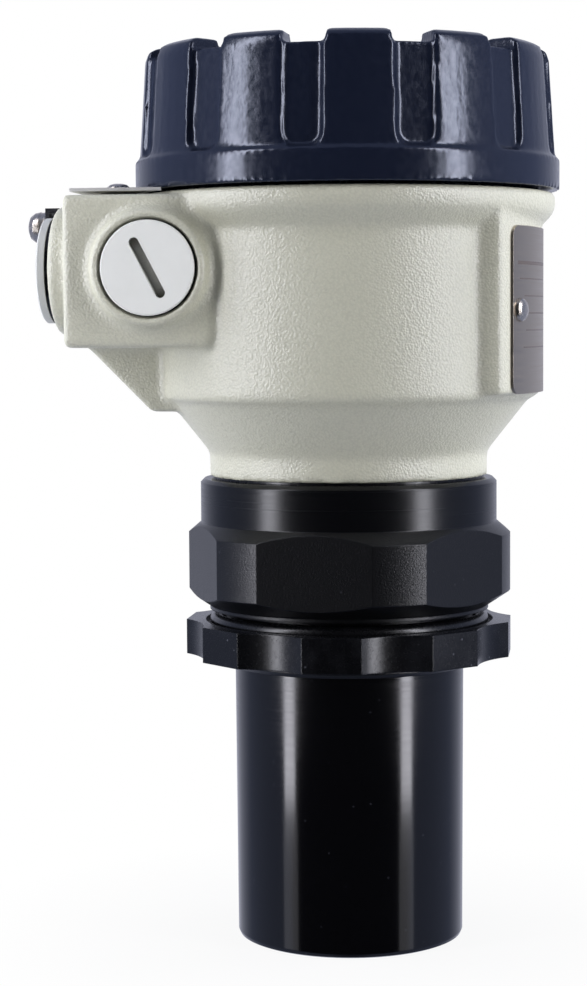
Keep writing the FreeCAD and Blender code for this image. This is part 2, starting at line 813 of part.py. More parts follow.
def housing():
    """The aluminium casting: drum, block, gusset, nameplate pad, entry bosses and every hollow in it."""
    outer, hollow = drum_forms()
    pad_bottom = size.drum_bottom + size.drum_round
    pad = bent_strip("pad_form", size.pad_half_width, ZERO, size.pad_front - size.pad_root,
                     pad_bottom, size.flange_bottom - pad_bottom)
    forms = [outer, block_form(), gusset_form(), pad]
    chamber = box("chamber", -size.chamber_left, -size.chamber_right, -size.chamber_half_width,
                  size.chamber_half_width, size.chamber_bottom, size.chamber_top)
    tools = [hollow, chamber]
    conduit_boss = (size.conduit_boss_radius, size.conduit_boss_root, size.conduit_boss_crest,
                    size.conduit_boss_height)
    conduit_recess = (size.conduit_recess_radius, size.conduit_recess_depth)
    conduit_depth = size.block_half_width - size.chamber_half_width
    gland_boss = (size.gland_boss_radius, size.gland_boss_root, size.gland_boss_crest, size.gland_boss_height)
    gland_depth = size.block_left - size.chamber_left
    for side, word, rotation in ((-1, "front", OUT_FRONT), (1, "rear", OUT_REAR)):
        raised, drilled = entry(f"{word}_conduit", conduit_boss, conduit_recess, size.conduit_bore,
                                conduit_depth, conduit_origin(side), rotation)
        forms.append(raised)
        tools += drilled
        raised, drilled = entry(f"{word}_gland", gland_boss, None, size.gland_bore,
                                gland_depth, gland_origin(side), OUT_LEFT)
        forms.append(raised)
        tools += drilled
        foot = cylinder(f"{word}_plate_pad", size.plate_pad_radius, size.plate_lift)
        rivet_y = size.plate_rivet_spacing * 0.5 * side
        forms.append(place(foot, -size.plate_rivet_offset, rivet_y, size.block_top))
        hole = cylinder(f"{word}_plate_rivet_hole", size.rivet_shank_hole, size.rivet_shank_length)
        tools.append(place(hole, -size.plate_rivet_offset, rivet_y,
                           size.block_top + size.plate_lift - size.rivet_shank_length))
        hole = cylinder(f"{word}_nameplate_rivet_hole", size.rivet_shank_hole, size.rivet_shank_length)
        tools.append(place_on_pad(hole, side, size.rivet_shank_length))
    pillar = cylinder("earth_pillar", size.earth_pillar_radius, size.earth_pillar_height)
    forms.append(place(pillar, -size.block_left, ZERO, size.earth_height, OUT_LEFT))
    tapped = cylinder("earth_hole", size.earth_shank_hole, size.earth_pillar_height)
    tools.append(place(tapped, -size.block_left, ZERO, size.earth_height, OUT_LEFT))
    return cut("housing", fused("casting", forms), tools)


def place_on_pad(solid, side, depth):
    """Stand a solid on the bent pad at a nameplate rivet, sunk below the pad's face by the depth."""
    across = size.nameplate_rivet_half_spacing * side
    lean = math.asin(across.number / size.pad_bend_radius.number)
    outward = (math.cos(lean), math.sin(lean), 0)
    radius = size.pad_bend_radius - depth
    x = size.pad_front - size.pad_bend_radius + radius * math.cos(lean)
    y = radius * math.sin(lean)
    z = size.nameplate_bottom + size.nameplate_height * 0.5
    return place(solid, x, y, z, turned(outward, (0, 0, 1)))


def nameplate():
    """Stainless plate bent round the pad, held by two domed rivets."""
    body = bent_strip_plate()
    rivets = []
    for side, word in ((-1, "front"), (1, "rear")):
        rivet = revolved(f"nameplate_rivet_{word}", domed_profile(
            size.rivet_radius, size.rivet_height, size.rivet_shank_radius,
            size.nameplate_sheet + size.rivet_shank_length * 0.8))
        rivets.append(place_on_pad(rivet, side, -size.nameplate_sheet))
    return [body, group("nameplate_rivets", rivets)]


def bent_strip_plate():
    """Sheet bent to the pad, cut out with rounded corners and two rivet holes."""
    bent = bent_strip("nameplate_bent", size.nameplate_half_width + size.nameplate_sheet,
                      size.nameplate_sheet, size.nameplate_sheet,
                      size.nameplate_bottom, size.nameplate_height)
    die = new_body("nameplate_die")
    face = sketch_on(die, "YZ_Plane", size.pad_root)
    draw_rectangle(face, -size.nameplate_half_width, size.nameplate_half_width,
                   size.nameplate_bottom, size.nameplate_bottom + size.nameplate_height)
    padded(die, face, size.pad_front)
    rounded(die, size.nameplate_corner, lambda edge: runs_along(edge, 0))
    blank = doc.addObject("Part::Common", "nameplate_blank")
    blank.Base = bent
    blank.Tool = die
    holes = []
    for side, word in ((-1, "front"), (1, "rear")):
        hole = cylinder(f"nameplate_hole_{word}", size.rivet_shank_hole, size.rivet_shank_length)
        holes.append(place_on_pad(hole, side, size.rivet_shank_length * 0.5))
    return cut("nameplate", blank, holes)


def top_plate():
    """Thin plate on the block's top, hollowed round the cover, on two cast pads with domed rivets."""
    base = size.block_top + size.plate_lift
    blank = box("top_plate_blank", -size.plate_left, -size.block_right, -size.plate_half_width,
                size.plate_half_width, base, base + size.plate_sheet)
    tools = [place(cylinder("top_plate_arc", size.plate_arc_radius, size.plate_sheet), z=base)]
    rivets = []
    for side, word in ((-1, "front"), (1, "rear")):
        rivet_y = size.plate_rivet_spacing * 0.5 * side
        hole = cylinder(f"top_plate_hole_{word}", size.rivet_shank_hole, size.plate_sheet)
        tools.append(place(hole, -size.plate_rivet_offset, rivet_y, base))
        rivet = revolved(f"top_plate_rivet_{word}", domed_profile(
            size.rivet_radius, size.rivet_height, size.rivet_shank_radius,
            size.plate_sheet + size.rivet_shank_length * 0.8))
        rivets.append(place(rivet, -size.plate_rivet_offset, rivet_y, base + size.plate_sheet))
    return [cut("top_plate", blank, tools), group("top_plate_rivets", rivets)]


def slotted_plug(name, head_radius, head, stem_radius, stem_length):
    """Turned plug seated at height zero: slotted head above, hollow threaded stem below."""
    body = revolved(name, [
        (ZERO, -size.plug_bore_depth + head),
        (stem_radius - size.plug_wall, -size.plug_bore_depth + head),
        (stem_radius - size.plug_wall, -stem_length),
        (stem_radius - size.tube_edge * 0.5, -stem_length),
        (stem_radius, -stem_length + size.tube_edge * 0.5),
        (stem_radius, ZERO),
        (head_radius, ZERO),
        (head_radius, head - size.tube_edge * 0.25),
        (head_radius - size.tube_edge * 0.25, head),
        (ZERO, head),
    ])
    slot = sketch_on(body, "XY_Plane", head)
    half = size.plug_slot_length * 0.5 - size.plug_slot_width * 0.5
    draw_rectangle(slot, -half, half, -size.plug_slot_width * 0.5, size.plug_slot_width * 0.5)
    cut_by(body, slot, size.plug_slot_depth)
    for end in (-half, half):
        tip = sketch_on(body, "XY_Plane", head)
        draw_circle(tip, end, ZERO, size.plug_slot_width * 0.5)
        cut_by(body, tip, size.plug_slot_depth)
    return body


def entry_plugs():
    """Two slotted conduit plugs and two flanged gland plugs, each on its own seal."""
    pieces = []
    slot = math.radians(CONDUIT_SLOT_TURN_DEG)
    conduit_floor = size.conduit_recess_depth - size.conduit_boss_height
    for side, name in ((-1, "front_plug"), (1, "rear_plug")):
        rotation = turned((0, side, 0), (-side * math.cos(slot), 0, math.sin(slot)))
        seat = inward(conduit_origin(side), rotation, conduit_floor)
        seal = ring(f"{name}_seal", size.conduit_plug_stem + size.inner_gap, size.conduit_seal_radius,
                    ZERO, size.conduit_seal_thickness)
        lift = size.conduit_seal_thickness + size.seat_gap
        plug = slotted_plug(name, size.conduit_plug_radius, size.conduit_plug_head,
                            size.conduit_plug_stem, size.conduit_plug_length)
        pieces.append(place(seal, *seat, rotation=rotation))
        pieces.append(place(plug, *inward(seat, rotation, -lift), rotation=rotation))
    for side, name in ((-1, "gland_plug_a"), (1, "gland_plug_b")):
        seat = inward(gland_origin(side), OUT_LEFT, -size.gland_boss_height)
        seal = ring(f"{name}_seal", size.gland_plug_stem + size.inner_gap, size.gland_seal_radius,
                    ZERO, size.gland_seal_thickness)
        lift = size.gland_seal_thickness + size.seat_gap
        plug = slotted_plug(name, size.gland_plug_radius, size.gland_plug_head,
                            size.gland_plug_stem, size.gland_plug_length)
        pieces.append(place(seal, *seat, rotation=OUT_LEFT))
        pieces.append(place(plug, *inward(seat, OUT_LEFT, -lift), rotation=OUT_LEFT))
    return pieces


def earth_terminal():
    """Wire clamp, flat washer, split spring washer and pan head screw on the earth pillar."""
    half = size.earth_clamp_width * 0.5
    reach = size.earth_clamp_lip + size.earth_clamp_sheet
    clamp_body = new_body("earth_clamp_channel")
    section = sketch_on(clamp_body, "XZ_Plane")
    draw_polygon(section, [
        (-half, ZERO),
        (-half + size.earth_clamp_sheet, ZERO),
        (-half + size.earth_clamp_sheet, size.earth_clamp_lip),
        (half - size.earth_clamp_sheet, size.earth_clamp_lip),
        (half - size.earth_clamp_sheet, ZERO),
        (half, ZERO),
        (half, reach),
        (-half, reach),
    ])
    padded(clamp_body, section, size.earth_clamp_width, midplane=True)
    face = (-size.block_left - size.earth_pillar_height + size.earth_clamp_lip, ZERO, size.earth_height)
    place(clamp_body, *face, rotation=OUT_LEFT)
    clamp_hole = place(cylinder("earth_clamp_hole", size.earth_shank_hole, reach), *face, rotation=OUT_LEFT)
    clamp = cut("earth_clamp", clamp_body, [clamp_hole])
    washer = ring("earth_flat_washer", size.earth_shank_hole, size.earth_washer_radius,
                  reach, reach + size.earth_washer_sheet)
    spring_bottom = reach + size.earth_washer_sheet
    head_bottom = spring_bottom + size.earth_spring_sheet
    split = ring("earth_spring_ring", size.earth_shank_hole, size.earth_spring_radius,
                 spring_bottom, head_bottom)
    gap = box("earth_spring_split", ZERO, size.earth_washer_radius, -size.earth_spring_gap * 0.5,
              size.earth_spring_gap * 0.5, spring_bottom, head_bottom)
    spring = cut("earth_spring_washer", split, [gap])
    screw = revolved("earth_screw", domed_profile(
        size.earth_head_radius, size.earth_head_height, size.earth_shank_radius, size.earth_shank_length))
    recess = sketch_on(screw, "XY_Plane", size.earth_head_height)
    draw_rectangle(recess, -size.earth_slot_length * 0.5, size.earth_slot_length * 0.5,
                   -size.earth_slot_width * 0.5, size.earth_slot_width * 0.5)
    cut_by(screw, recess, size.earth_slot_depth)
    for piece in (washer, spring):
        place(piece, *face, rotation=OUT_LEFT)
    place(screw, *inward(face, OUT_LEFT, -head_bottom), rotation=OUT_LEFT)
    return [clamp, washer, spring, screw]


def cover():
    """Cast crown cover: a turned cap with twelve draught-angled lobes left between U-shaped grooves."""
    body = revolved("cover", [
        (size.cover_bore, size.skirt_bottom),
        (size.skirt_radius - size.flange_edge, size.skirt_bottom),
        (size.skirt_radius, size.skirt_bottom + size.flange_edge),
        (size.skirt_radius, size.rim_bottom),
        (size.rim_radius, size.rim_bottom),
        (size.rim_radius, size.rim_top - size.rim_edge),
        (size.rim_radius - size.rim_edge, size.rim_top),
        (size.lobe_foot_radius, size.lobe_foot),
        (size.lobe_head_radius, size.lobe_head),
        (size.lobe_shoulder_radius, size.lobe_shoulder),
        (size.lobe_bevel_radius, size.cover_top),
        (size.crown_inner_radius, size.cover_top),
        (size.notch_floor, size.disc_top),
        (size.window_radius, size.disc_top),
        (size.window_radius, size.disc_bottom),
        (size.glass_pocket_radius, size.disc_bottom),
        (size.glass_pocket_radius, size.glass_pocket_bottom),
        (size.cover_bore, size.glass_pocket_bottom - size.tube_wall),
    ])
    azimuth = LOBE_AZIMUTH_DEG + 180.0 / COVER_LOBES
    groove = facing_sketch(body, size.lobe_foot_radius, azimuth, size.lobe_foot, LOBE_DRAUGHT_DEG)
    draw_groove(groove, size.groove_low - size.lobe_foot, size.cover_top + size.tube_wall - size.lobe_foot)
    deep = cut_by(body, groove, size.groove_depth, taper_deg=GROOVE_TAPER_DEG)
    notch = facing_sketch(body, size.notch_floor + size.notch_reach, azimuth)
    half = size.groove_width * 0.5
    draw_rectangle(notch, -half, half, size.disc_top, size.cover_top + size.tube_wall)
    shallow = cut_by(body, notch, size.notch_reach)
    polar(body, [deep, shallow], COVER_LOBES)
    oring = primitive("Part::Torus", "cover_oring", Radius1=size.cover_oring_radius,
                      Radius2=size.cover_oring_section)
    place(oring, z=size.cover_oring_height)
    return [body, oring]


def facing_sketch(body, radius, azimuth_deg, height=ZERO, lean_deg=0.0):
    """Upright sketch that faces outwards from a radius and height, turned about +Z from the front towards +X.

    A leaning sketch tips inwards above that height.
    """
    sketch = sketch_on(body, "XZ_Plane")
    azimuth = math.radians(azimuth_deg)
    base = (radius * math.sin(azimuth), height, radius * math.cos(azimuth))
    turn = FreeCAD.Rotation(FreeCAD.Vector(0, 1, 0), azimuth_deg)
    lean = FreeCAD.Rotation(FreeCAD.Vector(1, 0, 0), -lean_deg)
    sketch.AttachmentOffset = FreeCAD.Placement(FreeCAD.Vector(*[part.number for part in base]), turn * lean)
    for axis, part in zip("xyz", base):
        sketch.setExpression(f".AttachmentOffset.Base.{axis}", part.text)
    return sketch


def draw_groove(sketch, low, high):
    """Outline of a groove with upright sides and rounded lower corners."""
    corner = size.groove_corner
    half = size.groove_width * 0.5
    flat_half = half - corner
    bend = low + corner
    runs = [
        [(-flat_half, low), (flat_half, low)],
        [(half, bend), (half, high)],
        [(half, high), (-half, high)],
        [(-half, high), (-half, bend)],
    ]
    lines = [sketch.addGeometry(Part.LineSegment(flat(*begin), flat(*end)), False) for begin, end in runs]
    up = FreeCAD.Vector(0, 0, 1)
    arcs = []
    for side, begin, end in ((flat_half, 1.5 * math.pi, 2 * math.pi), (-flat_half, math.pi, 1.5 * math.pi)):
        circle = Part.Circle(flat(side, bend), up, corner.number)
        arcs.append(sketch.addGeometry(Part.ArcOfCircle(circle, begin, end), False))
    chain = [lines[0], arcs[0], lines[1], lines[2], lines[3], arcs[1]]
    for index, piece in enumerate(chain):
        following = chain[(index + 1) % len(chain)]
        sketch.addConstraint(Sketcher.Constraint("Coincident", piece, 2, following, 1))
    for line, (begin, end) in zip(lines, runs):
        pin_point(sketch, line, 1, *begin)
    for line in (lines[0], lines[3]):
        pin_point(sketch, line, 2, *runs[lines.index(line)][1])
    for arc in arcs:
        index = sketch.addConstraint(Sketcher.Constraint("Radius", arc, corner.number))
        sketch.setExpression(f"Constraints[{index}]", corner.text)


def sight_glass():
    """Glass disc in the cover's top, between a flat seal and a screwed ring."""
    return [
        ring("glass_seal", size.window_radius + size.key_edge, size.glass_radius,
             size.glass_top, size.disc_bottom),
        ring("sight_glass", ZERO, size.glass_radius, size.glass_bottom, size.glass_top),
        ring("glass_ring", size.glass_ring_bore, size.glass_radius,
             size.glass_ring_bottom, size.glass_bottom),
    ]


def electronics():
    """Potted measuring electronics on the housing's ledge, with the terminal board screwed on top."""
    board_top = size.pot_top + size.board_thickness
    pot_holes = []
    board_holes = []
    screws = []
    for number, angle in enumerate(BOARD_SCREW_ANGLES, start=1):
        x, y = on_circle(size.board_screw_circle, angle)
        depth = size.board_screw_length - size.board_thickness
        hole = cylinder(f"pot_hole_{number}", size.board_screw_hole, depth)
        pot_holes.append(place(hole, x, y, size.pot_top - depth))
        hole = cylinder(f"board_hole_{number}", size.board_screw_hole, size.board_thickness)
        board_holes.append(place(hole, x, y, size.pot_top))
        screw = revolved(f"board_screw_{number}", domed_profile(
            size.board_screw_head, size.board_screw_height, size.board_screw_shank, size.board_screw_length))
        screws.append(place(screw, x, y, board_top))
    pot_form = ring("pot_form", ZERO, size.pot_radius, size.ledge_height, size.pot_top)
    board_form = ring("board_form", ZERO, size.board_radius, size.pot_top, board_top)
    return [
        cut("electronics_pot", pot_form, pot_holes),
        cut("terminal_board", board_form, board_holes),
        group("board_screws", screws),
    ]


def terminals():
    """Screw terminal block behind the display, with a wire hole and a screw well for each core."""
    base = size.pot_top + size.board_thickness
    top = base + size.terminal_height
    front = size.terminal_offset - size.terminal_width * 0.5
    form = box("terminal_form", -size.terminal_length * 0.5, size.terminal_length * 0.5, front,
               front + size.terminal_width, base, top)
    holes = []
    screws = []
    for number in range(TERMINALS):
        x = size.terminal_pitch * (number - (TERMINALS - 1) / 2)
        well = cylinder(f"terminal_well_{number + 1}", size.terminal_well_radius, size.terminal_well_depth)
        holes.append(place(well, x, size.terminal_offset, top - size.terminal_well_depth))
        depth = size.terminal_wire_depth
        wire = cylinder(f"terminal_wire_hole_{number + 1}", size.terminal_wire_radius, depth)
        holes.append(place(wire, x, front + depth, base + size.terminal_wire_height, OUT_FRONT))
        screw = ring(f"terminal_screw_{number + 1}", ZERO, size.terminal_screw_radius, ZERO,
                     size.terminal_screw_height)
        screws.append(place(screw, x, size.terminal_offset, top - size.terminal_well_depth))
    return [cut("terminal_block", form, holes), group("terminal_screws", screws)]


def display():
    """Display module on three posts: moulded bezel, glass panel and four sprung keys over rubber domes."""
    board_top = size.pot_top + size.board_thickness
    posts = []
    for number, angle in enumerate(POST_ANGLES, start=1):
        post = cylinder(f"display_post_{number}", size.post_radius, size.bezel_bottom - board_top)
        posts.append(place(post, *on_circle(size.post_circle, angle), board_top))
    pocket_half_length = size.lcd_length * 0.5 + size.lcd_gap
    pocket_half_width = size.lcd_width * 0.5 + size.lcd_gap
    panel_bottom = size.bezel_top - size.lcd_thickness
    tools = [box("lcd_pocket", -pocket_half_length, pocket_half_length, size.lcd_offset - pocket_half_width,
                 size.lcd_offset + pocket_half_width, panel_bottom, size.bezel_top)]
    panel = box("lcd_panel", -size.lcd_length * 0.5, size.lcd_length * 0.5,
                size.lcd_offset - size.lcd_width * 0.5, size.lcd_offset + size.lcd_width * 0.5,
                panel_bottom, size.bezel_top)
    keys = []
    domes = []
    hole_floor = size.bezel_top - size.key_hole_depth
    key_height = size.key_depth + size.key_proud
    for number, name in enumerate(KEY_NAMES):
        x = size.key_pitch * (number - (len(KEY_NAMES) - 1) / 2)
        hole = cylinder(f"{name}_hole", size.key_hole_radius, size.key_hole_depth)
        tools.append(place(hole, x, -size.key_offset, hole_floor))
        key = revolved(name, [
            (ZERO, ZERO),
            (size.key_radius, ZERO),
            (size.key_radius, key_height - size.key_edge),
            (size.key_radius - size.key_edge, key_height),
            (ZERO, key_height),
        ])
        keys.append(place(key, x, -size.key_offset, size.bezel_top - size.key_depth))
        dome = cone(f"{name}_dome", size.key_dome_foot, size.key_dome_head,
                    size.key_hole_depth - size.key_depth)
        domes.append(place(dome, x, -size.key_offset, hole_floor))
    bezel_form = revolved("bezel_form", [
        (ZERO, size.bezel_bottom),
        (size.bezel_radius, size.bezel_bottom),
        (size.bezel_radius, size.bezel_top - size.tube_edge),
        (size.bezel_radius - size.tube_edge, size.bezel_top),
        (ZERO, size.bezel_top),
    ])
    bezel = cut("display_bezel", bezel_form, tools)
    return [group("display_posts", posts), bezel, panel] + domes + keys


def export(pieces):
    """Recompute, refuse any broken sub-part, and write each one to its own STEP file."""
    doc.recompute()
    broken = [thing.Label for thing in doc.Objects if {"Invalid", "Error"} & set(thing.State)]
    broken += [piece.Label for piece in pieces if piece.Shape.isNull() or not piece.Shape.isValid()]
    if broken:
        raise RuntimeError(f"broken objects: {', '.join(sorted(set(broken)))}")
    os.makedirs("parts", exist_ok=True)
    for piece in pieces:
        piece.Shape.exportStep(f"parts/{piece.Label}.step")


export([
    housing(),
    *top_plate(),
    *nameplate(),
    *entry_plugs(),
    *earth_terminal(),
    *cover(),
    *sight_glass(),
    *process_fitting(),
    *lock_nut(),
    sensor_cup(),
    *transducer(),
    *electronics(),
    *terminals(),
    *display(),
])
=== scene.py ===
import math

import bmesh
import bpy
from mathutils import Euler, Matrix, Vector


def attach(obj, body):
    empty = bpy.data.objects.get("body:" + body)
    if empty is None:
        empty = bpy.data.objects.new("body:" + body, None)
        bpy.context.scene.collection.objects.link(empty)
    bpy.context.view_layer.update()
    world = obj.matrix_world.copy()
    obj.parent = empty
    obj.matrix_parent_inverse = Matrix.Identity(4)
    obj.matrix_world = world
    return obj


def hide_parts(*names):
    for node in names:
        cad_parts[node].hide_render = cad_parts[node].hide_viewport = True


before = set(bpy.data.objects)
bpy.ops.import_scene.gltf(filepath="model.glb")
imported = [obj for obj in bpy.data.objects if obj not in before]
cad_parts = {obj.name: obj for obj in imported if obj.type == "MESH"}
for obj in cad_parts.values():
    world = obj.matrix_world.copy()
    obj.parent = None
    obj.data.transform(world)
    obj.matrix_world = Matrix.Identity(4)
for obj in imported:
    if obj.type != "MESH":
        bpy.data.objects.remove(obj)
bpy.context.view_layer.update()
MM = 0.001


# Sensor cup: one moulding in black polypropylene with a closed flat end that radiates the sound. The tube is
# turned smooth and glossy, with faint rings near the nut, draw marks along it and a little dust.
def add_node(tree, kind, inputs=None, **settings):
    """Adds a node; an input is either a constant for its socket or another node's output to link."""
    node = tree.nodes.new(kind)
    for name, value in settings.items():
        setattr(node, name, value)
    for name, value in (inputs or {}).items():
        if isinstance(value, bpy.types.NodeSocket):
            tree.links.new(value, node.inputs[name])
        else:
            node.inputs[name].default_value = value
    return node


def new_finish(name, **constants):
    """Starts a material; returns it with its node tree and its principled shader."""
    finish = bpy.data.materials.new(name)
    finish.use_nodes = True
    tree = finish.node_tree
    tree.nodes.clear()
    shader = add_node(tree, "ShaderNodeBsdfPrincipled", constants)
    add_node(tree, "ShaderNodeOutputMaterial", {"Surface": shader.outputs["BSDF"]})
    return finish, tree, shader


def new_group(name, inputs, outputs):
    """Starts a shader node group with float or vector inputs and float outputs."""
    group = bpy.data.node_groups.new(name, "ShaderNodeTree")
    for label, kind in inputs.items():
        group.interface.new_socket(label, in_out="INPUT", socket_type=f"NodeSocket{kind}")
    for label in outputs:
        group.interface.new_socket(label, in_out="OUTPUT", socket_type="NodeSocketFloat")
    return group, add_node(group, "NodeGroupInput"), add_node(group, "NodeGroupOutput")


def use_group(tree, group, inputs):
    """Places a node group in a material."""
    return add_node(tree, "ShaderNodeGroup", inputs, node_tree=group)


def mix_colour(tree, factor, first, second):
    """Blends two colours, each a constant or another node's output."""
    node = add_node(tree, "ShaderNodeMix", data_type="RGBA")
    for socket, value in zip((node.inputs[0], node.inputs[6], node.inputs[7]), (factor, first, second)):
        if isinstance(value, bpy.types.NodeSocket):
            tree.links.new(value, socket)
        else:
            socket.default_value = (*value, 1.0)
    return node.outputs[2]


def object_place(tree):
    """The point on the piece, in the object's own metres."""
    return add_node(tree, "ShaderNodeTexCoord").outputs["Object"]


def product(tree, first, second, **settings):
    """Multiplies two values, each a constant or another node's output."""
    node = add_node(tree, "ShaderNodeMath", {0: first, 1: second}, operation="MULTIPLY", **settings)
    return node.outputs["Value"]


def soften(tree, shader, radius, height, strength, distance):
    """Gives the shader a bumped normal whose sharp edges are rounded to the radius."""
    edge = add_node(tree, "ShaderNodeBevel", {"Radius": radius}, samples=6)
    bump = add_node(tree, "ShaderNodeBump", {
        "Strength": strength, "Distance": distance, "Height": height, "Normal": edge.outputs["Normal"]})
    tree.links.new(bump.outputs["Normal"], shader.inputs["Normal"])


def dress(finish, *names):
    """Puts a finish on CAD nodes."""
    for name in names:
        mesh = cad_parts[name].data
        mesh.materials.clear()
        mesh.materials.append(finish)


def dust_group():
    """Scattered specks and a soft film of dust, as masks from 0 to 1."""
    group, source, sink = new_group(
        "settled_dust", {"Place": "Vector", "Speck Scale": "Float", "Film Scale": "Float"},
        ["Specks", "Film"])
    cells = add_node(group, "ShaderNodeTexVoronoi", {
        "Vector": source.outputs["Place"], "Scale": source.outputs["Speck Scale"]})
    near = add_node(group, "ShaderNodeMapRange", {
        "Value": cells.outputs["Distance"], "From Min": 0.16, "From Max": 0.06})
    pick = add_node(group, "ShaderNodeSeparateColor", {"Color": cells.outputs["Color"]})
    rare = add_node(group, "ShaderNodeMath", {0: pick.outputs["Red"], 1: 0.86}, operation="GREATER_THAN")
    specks = product(group, near.outputs["Result"], rare.outputs["Value"])
    cloud = add_node(group, "ShaderNodeTexNoise", {
        "Vector": source.outputs["Place"], "Scale": source.outputs["Film Scale"], "Detail": 4.0})
    film = add_node(group, "ShaderNodeMapRange", {
        "Value": cloud.outputs["Fac"], "From Min": 0.48, "From Max": 0.72})
    group.links.new(specks, sink.inputs["Specks"])
    group.links.new(film.outputs["Result"], sink.inputs["Film"])
    return group


settled_dust = dust_group()


def tube_black():
    """Glossy black plastic with turning rings that fade out downwards and a few dry specks."""
    finish, tree, shader = new_finish("tube_black")
    faint_below = 30.0 * MM
    full_above = 64.0 * MM
    place = object_place(tree)
    height = add_node(tree, "ShaderNodeSeparateXYZ", {"Vector": place}).outputs["Z"]
    upper = add_node(tree, "ShaderNodeMapRange", {
        "Value": height, "From Min": faint_below, "From Max": full_above, "To Min": 0.12}).outputs["Result"]
    flattened = add_node(tree, "ShaderNodeMapping", {"Vector": place, "Scale": (25.0, 25.0, 2400.0)})
    rings = add_node(tree, "ShaderNodeTexNoise", {
        "Vector": flattened.outputs["Vector"], "Scale": 1.0, "Detail": 3.0, "Roughness": 0.6})
    drawn = add_node(tree, "ShaderNodeMapping", {"Vector": place, "Scale": (900.0, 900.0, 14.0)})
    marks = add_node(tree, "ShaderNodeTexNoise", {
        "Vector": drawn.outputs["Vector"], "Scale": 1.0, "Detail": 5.0, "Roughness": 0.65})
    turned = product(tree, rings.outputs["Fac"], upper)
    faint = product(tree, marks.outputs["Fac"], 0.25)
    relief = add_node(tree, "ShaderNodeMath", {0: turned, 1: faint})
    gloss = add_node(tree, "ShaderNodeMapRange", {
        "Value": turned, "From Min": 0.1, "From Max": 0.7, "To Min": 0.10, "To Max": 0.24})
    settled = use_group(tree, settled_dust, {"Place": place, "Speck Scale": 520.0, "Film Scale": 90.0})
    specks = product(tree, settled.outputs["Specks"], 0.3)
    tint = mix_colour(tree, specks, (0.0014, 0.0014, 0.0018), (0.05, 0.052, 0.06))
    tree.links.new(tint, shader.inputs["Base Color"])
    tree.links.new(gloss.outputs["Result"], shader.inputs["Roughness"])
    soften(tree, shader, radius=0.5 * MM, height=relief.outputs["Value"],
           strength=0.3, distance=0.02 * MM)
    return finish


dress(tube_black(), "sensor_cup")


# Transducer inside the cup: a syntactic foam matching layer, a silvered piezo disc with a cork ring round
# it, a cast damping block, a steel temperature probe and the screened lead. All are bonded in with resin,
# and the electronics above them are potted in the same resin.
def plain_grain(name, colour, second, scale, rough, bump, metallic=0.0, edge=0.2 * MM):
    """Everyday finish with two close tones mottled together and a fine grain."""
    finish, tree, shader = new_finish(name, Metallic=metallic)
    place = object_place(tree)
    mottle = add_node(tree, "ShaderNodeTexNoise", {
        "Vector": place, "Scale": scale, "Detail": 6.0, "Roughness": 0.6})
    tint = mix_colour(tree, mottle.outputs["Fac"], colour, second)
    gloss = add_node(tree, "ShaderNodeMapRange", {
        "Value": mottle.outputs["Fac"], "From Min": 0.3, "From Max": 0.7, "To Min": rough - 0.06,
        "To Max": rough + 0.06})
    tree.links.new(tint, shader.inputs["Base Color"])
    tree.links.new(gloss.outputs["Result"], shader.inputs["Roughness"])
    soften(tree, shader, radius=edge, height=mottle.outputs["Fac"],
           strength=bump, distance=0.05 * MM)
    return finish


foam_layer = plain_grain(
    "foam_layer", (0.50, 0.46, 0.38), (0.62, 0.58, 0.50), scale=900.0, rough=0.7, bump=0.5)
dress(foam_layer, "matching_layer")
silvered_ceramic = plain_grain(
    "silvered_ceramic", (0.62, 0.60, 0.55), (0.72, 0.70, 0.66), scale=400.0, rough=0.4, bump=0.2,
    metallic=0.6)
dress(silvered_ceramic, "piezo_disc")
cork = plain_grain("cork", (0.22, 0.11, 0.05), (0.42, 0.26, 0.13), scale=700.0, rough=0.8, bump=0.8)
dress(cork, "decoupling_ring")
dark_resin = plain_grain(
    "dark_resin", (0.012, 0.012, 0.014), (0.022, 0.022, 0.026), scale=300.0, rough=0.3, bump=0.15)
dress(dark_resin, "backing_block", "electronics_pot")
drawn_steel = plain_grain(
    "drawn_steel", (0.50, 0.50, 0.50), (0.60, 0.60, 0.60), scale=800.0, rough=0.3, bump=0.1,
    metallic=1.0)
dress(drawn_steel, "temperature_probe")
lead_jacket = plain_grain(
    "lead_jacket", (0.02, 0.02, 0.02), (0.035, 0.035, 0.035), scale=900.0, rough=0.5, bump=0.3)
dress(lead_jacket, "transducer_lead")


# Process fitting: collar, hexagon and threaded stub turned from one polypropylene bar. The collar keeps fine
# turning rings and a satin shine, and the milled hexagon is duller with a fine grain. Sizes in millimetres.
EDGE_CUT = 0.9
STUB_BORE = 27.6
STUB_RADIUS = 29.8
STUB_FOOT = 66.0
RELIEF_RADIUS = 28.8
RELIEF_FOOT = 77.4
RIDGE_RADIUS = 33.5
RIDGE_FOOT = 79.4
RIDGE_TOP = 80.3
HEXAGON_CORNER_RADIUS = 38.75
HEXAGON_FOOT = 83.8
HEXAGON_TOP = 97.5
HEXAGON_HALF_ACROSS = 36.3
HEXAGON_TURN_DEG = -96.6
COLLAR_RADIUS = 35.5
COLLAR_FOOT = 100.3
COLLAR_TOP = 110.7
SPIGOT_RADIUS = 25.7
SPIGOT_TOP = 121.0
LEAD_BORE = 21.0
LEAD_BORE_FOOT = 98.0
PROCESS_PITCH = 2.309


